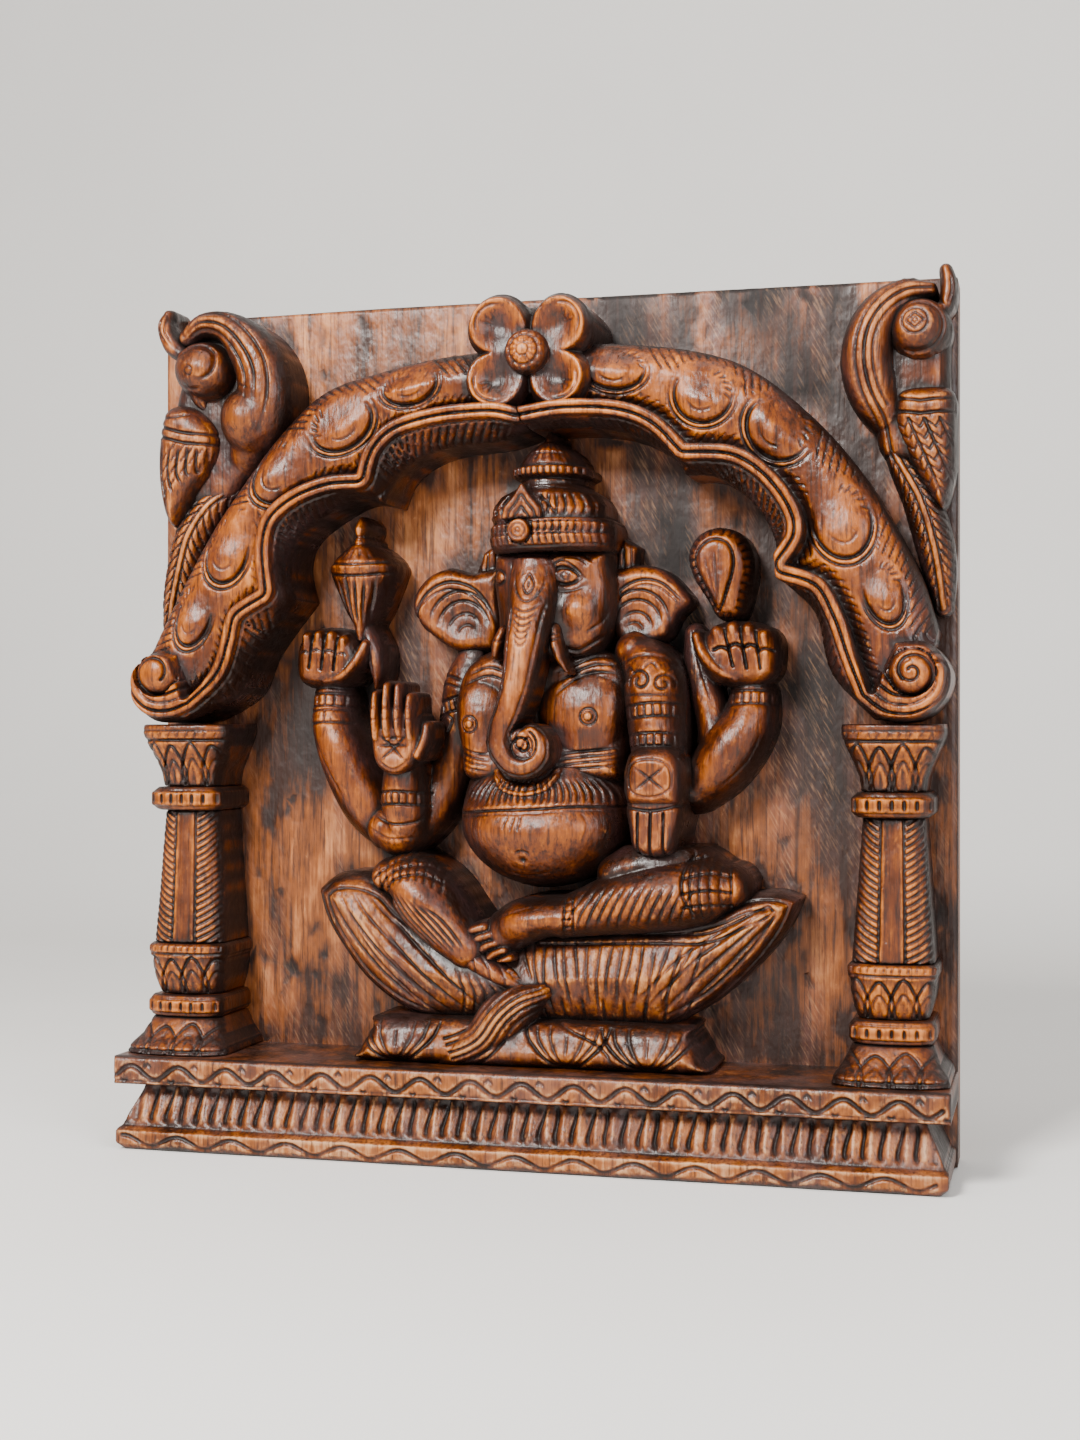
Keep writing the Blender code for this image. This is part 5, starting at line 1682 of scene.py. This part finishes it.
def legs():
    """The leg that lies across, the one that falls down, and its foot."""
    p = Patch("right_leg", (-40, 118, -122, -66), "figure_wood")
    p.limb([
        (108, -84, 12, 50, 22), (94, -86, 18, 54, 30), (74, -89, 18.5, 58, 30), (52, -93, 16.5, 58, 28),
        (34, -98, 13, 58, 26), (22, -101, 11, 58, 25),
    ])
    p.limb([
        (50, -78, 12, 52, 22), (67, -74, 15, 50, 25), (88, -77, 15, 48, 24), (106, -82, 10, 44, 18),
    ], blend=1)
    p.limb([
        (24, -100, 10.5, 58, 25), (12, -101, 11, 58, 27), (0, -104, 12.5, 57, 26),
        (-9, -109.5, 12.5, 54, 21),
    ], blend=1)
    for k in range(5):
        x, z = -19 + 3.6 * k, -106.4 - 3.9 * k
        size = 3.7 - 0.2 * k
        far = 10.5 - 0.9 * k
        tip = (x - far, z - 3.8, size + 0.3, 63, 10)
        p.limb([(x, z, size, 64, 10), (x - 0.6 * far, z - 1.8, size, 64, 10), tip], blend=0.4)
        p.cut(arc(x - far, z - 4.0, 2.1, start=120, end=300, count=8), 0.7, 0.8)
    for k in range(12):
        x = 33 + 5.1 * k
        top = -84.5 + 0.09 * (x - 33) * (1 if x < 70 else 0.6)
        p.cut([(x - 5.5, -105.5), (x - 1.5, -96), (x + 5.5, top)], 1.2, 1.5, 5)
    for x in (26.5, 31.2):
        p.groove([(x - 2.2, -111), (x + 0.6, -100), (x - 1.4, -88)], 1.1, 1.9, 5)
    for k in range(6):
        z = -108.5 + 4 * k
        p.groove([(26, z), (31, z + 0.6)], 0.9, 1.4)
    p.cut(arc(99, -82, 11.5, 17.5, -80, 260, 26, 8), 1.4, 2.2)
    for bow, z in ((1.5, -70), (1.0, -77.5), (0.6, -85), (0.2, -92)):
        p.groove([(88, z - 1), (99, z + bow), (110, z - 1)], 1.2, 2.0, 5)
    for x in (91.6, 96, 100.6, 105.2):
        p.groove([(x - 1, -66), (x, -82), (x + 0.6, -98)], 1.1, 1.7, 5)
    p.cut([(14, -94), (2, -97), (-12, -102)], 0.9, 0.8, 5)
    p.cut([(19, -108), (9, -112), (-2, -118)], 1.0, 0.9, 5)
    p.rough(0.2, 14, 12)
    p.finish()

    p = Patch("left_leg", (-88, -20, -128, -64), "figure_wood")
    p.limb([
        (-76, -82, 10, 48, 22), (-64, -84, 16, 50, 28), (-53, -94, 18.5, 52, 30),
        (-42, -106, 17, 52, 29), (-30, -118, 14, 52, 26),
    ])
    for k in range(6):
        s = -8 + 4.2 * k
        p.cut([(-63 + s, -90 - 0.4 * s), (-52 + s, -103), (-38 + 0.8 * s, -118)], 1.4, 1.9, 6)
    for drop in (0, 6.2, 12.4):
        p.groove([
            (-81 + 0.5 * drop, -83 - drop), (-68, -73.5 - 0.8 * drop), (-53, -71 - 0.7 * drop),
            (-42, -77 - 0.6 * drop),
        ], 1.3, 2.0, 6)
    for k in range(9):
        x = -78 + 4.3 * k
        z = -80.5 + 9.5 * math.sin(math.pi * (k + 0.6) / 9.6)
        p.groove([(x, z + 1.5), (x + 2.4, z - 11)], 1.1, 1.7)
    p.cut([(-81, -88), (-72, -96), (-64, -107)], 1.2, 1.2, 5)
    p.rough(0.2, 12, 14)
    p.finish()

    p = Patch("left_foot", (-46, 14, -148, -110), "figure_wood")
    p.limb([
        (-40, -118, 7, 50, 20), (-26, -124, 8.5, 52, 22), (-12, -131, 8.4, 52, 22),
        (-1, -137, 6.6, 52, 20), (5, -141, 4.4, 52, 17),
    ])
    for k in range(4):
        p.limb([
            (-6 + 2.6 * k, -133.4 - 2.1 * k + 5, 1.9, 56, 15),
            (2.6 + 2.2 * k, -136.6 - 2.0 * k + 4, 1.8, 54, 13),
        ], blend=0.3)
    for k in range(4):
        p.cut([
            (-38 + 8 * k, -114 - 3.2 * k), (-32 + 8 * k, -121 - 3.2 * k), (-31 + 8 * k, -130 - 2.8 * k),
        ], 1.0, 1.1, 5)
    p.rough(0.18, 10, 10)
    p.finish()


def seat():
    """The lotus cushion of long leaves, and the row of petals under it."""
    p = Patch("lotus_seat", (-120, 147, -163, -76), "seat_wood")
    under = [(-117, -90), (-113, -104), (-105, -118), (-90, -137), (-71, -151), (-54, -158)]
    right = [(75, -158), (100, -144), (121, -125), (136, -106), (143, -90)]
    top = [
        (143, -90), (131, -86.5), (116, -88), (98, -96), (70, -102), (30, -106), (6, -110), (-6, -116),
    ]
    petal = [(-6, -116), (-30, -110), (-60, -99), (-74, -86), (-90, -80), (-106, -81), (-117, -90)]
    outline = np.vstack([curve(top, 4), curve(petal, 4), curve(under, 4), curve(right, 4)])
    d = p.inside(outline)
    p.add(d, 48 + 20 * dome(d / 18) + 6 * smooth((d - 8) / 26))
    leaf = smooth((np.abs(p.X - 12) - 56) / 20) * smooth((-82 - p.Z) / 8)
    for inset, deep in ((4.0, 2.0), (8.6, 1.6)):
        p.carve(deep * leaf * band(d - inset - 0.03 * (p.Z + 90), 1.4))
    for t in (0.1, 0.34, 0.62, 0.9):
        p.cut([
            (-108 + 24 * t, -93 + 5 * t), (-97 + 27 * t, -111 + 9 * t), (-80 + 30 * t, -131 + 12 * t),
            (-58 + 32 * t, -150 + 9 * t),
        ], 1.7 - 0.4 * t, 2.0 - 0.8 * t, 6)
        p.cut([
            (-94 + 22 * t, -106 + 8 * t), (-80 + 25 * t, -126 + 10 * t), (-62 + 28 * t, -144 + 10 * t),
            (-46 + 29 * t, -156 + 6 * t),
        ], 1.1, 1.2, 6)
    for t in (0.2, 0.45, 0.75, 1.0):
        p.cut([
            (139 - 12 * t, -93), (126 - 19 * t, -109 + 4 * t), (110 - 25 * t, -128 + 9 * t),
            (84 - 24 * t, -153 + 9 * t),
        ], 1.7 - 0.4 * t, 1.9 - 0.8 * t, 6)
    for k, x in enumerate(np.arange(2, 92, 5.6)):
        lean = 0.10 * (x - 40)
        long = 24 + 18 * ((k * 7) % 5) / 4
        p.cut([
            (x + lean + 1.5 * math.sin(k), -111), (x, -111 - long * 0.5), (x - lean * 1.6, -111 - long),
        ], 1.4, 1.1 + 0.25 * (k % 3), 5)
        if k % 2:
            p.cut([(x + 2.5 - lean, -155.5), (x + 2.8, -141)], 1.2, 1.4)
    for k in range(7):
        p.cut([
            (-34 + 5 * k, -128 - 1.8 * k), (-30 + 5.6 * k, -142), (-34 + 6.4 * k, -156),
        ], 1.2, 1.3, 5)
    rim = [(9, -113.5), (32, -112.5), (70, -110.8), (96, -109.8), (113, -103), (128, -95.5)]
    p.carve(1.8 * band(p.line(curve(rim, 5)).d - 2.2, 1.2))
    p.rough(0.3, 18, 22)
    p.finish()

    p = Patch("lotus_base", (-90, 98, -179.5, -136), "seat_wood")
    d = p.inside(loop([
        (-76, -155), (0, -154), (82, -155), (89, -160), (96, -172), (97, -178.2), (50, -178.6),
        (-40, -178.6), (-88, -178.2), (-88, -172), (-82, -160),
    ], 4))
    p.add(d, 60 + 14 * dome(d / 9) + 4 * smooth((-160 - p.Z) / 16))
    for cx, half in ((26, 21), (68, 23), (-66, 22)):
        for grow, depth in ((1.0, 2.4), (0.74, 1.5), (0.42, 1.2)):
            w = half * grow
            shape = [
                (cx - w * 1.05, -157.5), (cx - w * 0.9, -165), (cx - w * 0.35, -172.5 - 3 * grow),
                (cx, -174 - 3 * grow), (cx + w * 0.35, -172.5 - 3 * grow), (cx + w * 0.9, -165),
                (cx + w * 1.05, -157.5),
            ]
            p.groove(shape, 1.5, depth, 5)
        p.cut([(cx, -160), (cx, -171)], 0.9, 0.9)
    tip = [
        (13, -139, 6, 58, 20), (3, -144, 11, 60, 22), (-9, -153, 13.5, 62, 21), (-20, -164, 11, 62, 19),
        (-32, -172, 8, 62, 17), (-42, -177, 3, 60, 13),
    ]
    line = p.limb(tip, blend=0.6)
    for shift in (-8.6, -5.0, -1.6, 2.0, 6.2, 9.6):
        bend = shift + 1.6 * np.sin(line.s / 9)
        p.carve(1.9 * band(line.side - bend, 1.2) * (line.d < 12) * (line.s < 60))
    p.cut([(6, -146), (22, -156), (44, -166), (52, -177)], 1.3, 1.8, 5)
    p.rough(0.2, 12, 12)
    p.finish()


# Camera, lights and stage


def studio():
    """The camera, three soft lamps, a grey sky and a floor that curves up behind."""
    scene = bpy.context.scene
    camera = bpy.data.cameras.new("camera")
    camera.lens = 49.3
    camera.sensor_width = 36.0
    camera.shift_y = 0.0056
    view = bpy.data.objects.new("camera", camera)
    view.location = (0.2709, -1.0538, -0.003)
    view.rotation_euler = (math.radians(90), 0, math.radians(14.8))
    scene.collection.objects.link(view)
    scene.camera = view

    def lamp(name, place, aim, size, power, colour):
        light = bpy.data.lights.new(name, "AREA")
        light.shape = "RECTANGLE"
        light.size, light.size_y = size
        light.energy = power
        light.color = colour
        obj = bpy.data.objects.new(name, light)
        obj.location = place
        away = mathutils.Vector(place) - mathutils.Vector(aim)
        obj.rotation_euler = away.to_track_quat("Z", "Y").to_euler()
        scene.collection.objects.link(obj)

    lamp("key", (-0.45, -1.5, 0.95), (0, 0, 0), (0.45, 0.45), 66, (1.0, 0.975, 0.94))
    lamp("fill", (1.4, -1.3, 0.55), (0, 0, 0), (0.9, 0.9), 24, (0.93, 0.96, 1.0))
    lamp("top", (0.1, -0.35, 1.7), (0, 0, 0), (1.2, 0.5), 10, (1.0, 0.99, 0.97))

    world = bpy.data.worlds.new("studio")
    world.use_nodes = True
    sky = world.node_tree.nodes["Background"]
    sky.inputs["Color"].default_value = (0.86, 0.85, 0.83, 1)
    sky.inputs["Strength"].default_value = 0.70
    scene.world = world

    floor_z = float(cad_box[0][2]) - 0.0002
    width, near, top = 40.0, -40.0, 12.0
    far, bend = 0.85, 0.55  # where the floor starts to curve up, and the curve's radius
    rows = [(near, floor_z), (far, floor_z)]
    rows += [
        (far + bend * math.sin(a), floor_z + bend * (1 - math.cos(a)))
        for a in (math.pi / 2 * k / 12 for k in range(1, 13))
    ]
    rows.append((far + bend, top))
    bm = bmesh.new()
    lines = [[bm.verts.new((x, y, z)) for x in (-width, width)] for y, z in rows]
    for a, b in zip(lines, lines[1:]):
        bm.faces.new((a[0], a[1], b[1], b[0]))
    mesh = bpy.data.meshes.new("floor")
    bm.to_mesh(mesh)
    bm.free()
    mesh.shade_smooth()
    floor = bpy.data.objects.new("floor", mesh)
    scene.collection.objects.link(floor)
    n = Nodes("floor_paper")
    where = n.add("ShaderNodeTexCoord").outputs["Object"]
    tone = n.noise(where, 3.0, 3, 0.5)
    paper = n.ramp(tone, ((0.3, (0.78, 0.76, 0.735)), (0.7, (0.81, 0.79, 0.765))))
    n.set(n.shader.inputs["Base Color"], paper)
    n.shader.inputs["Roughness"].default_value = 0.9
    mesh.materials.append(n.material)


def steel_parts():
    """The carried-over plates and screws keep their CAD shape."""
    for side in ("left", "right"):
        for node, metal in (
            (f"{side}_hanging_plate", ZINC),
            (f"{side}_upper_screw", DARK_ZINC),
            (f"{side}_lower_screw", DARK_ZINC),
        ):
            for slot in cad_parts[node].material_slots:
                slot.material = metal


let_in_plates(back_board())
base()
for side in ("left", "right"):
    pillar(side)
    moulding(side)
    crest(side)
rosette()
left_bird()
right_bird()
crown()
head()
trunk()
ears()
torso()
front_arms()
rear_arms()
held_things()
legs()
seat()
steel_parts()
panel.paint_shade_and_wear()
studio()
bpy.context.view_layer.update()
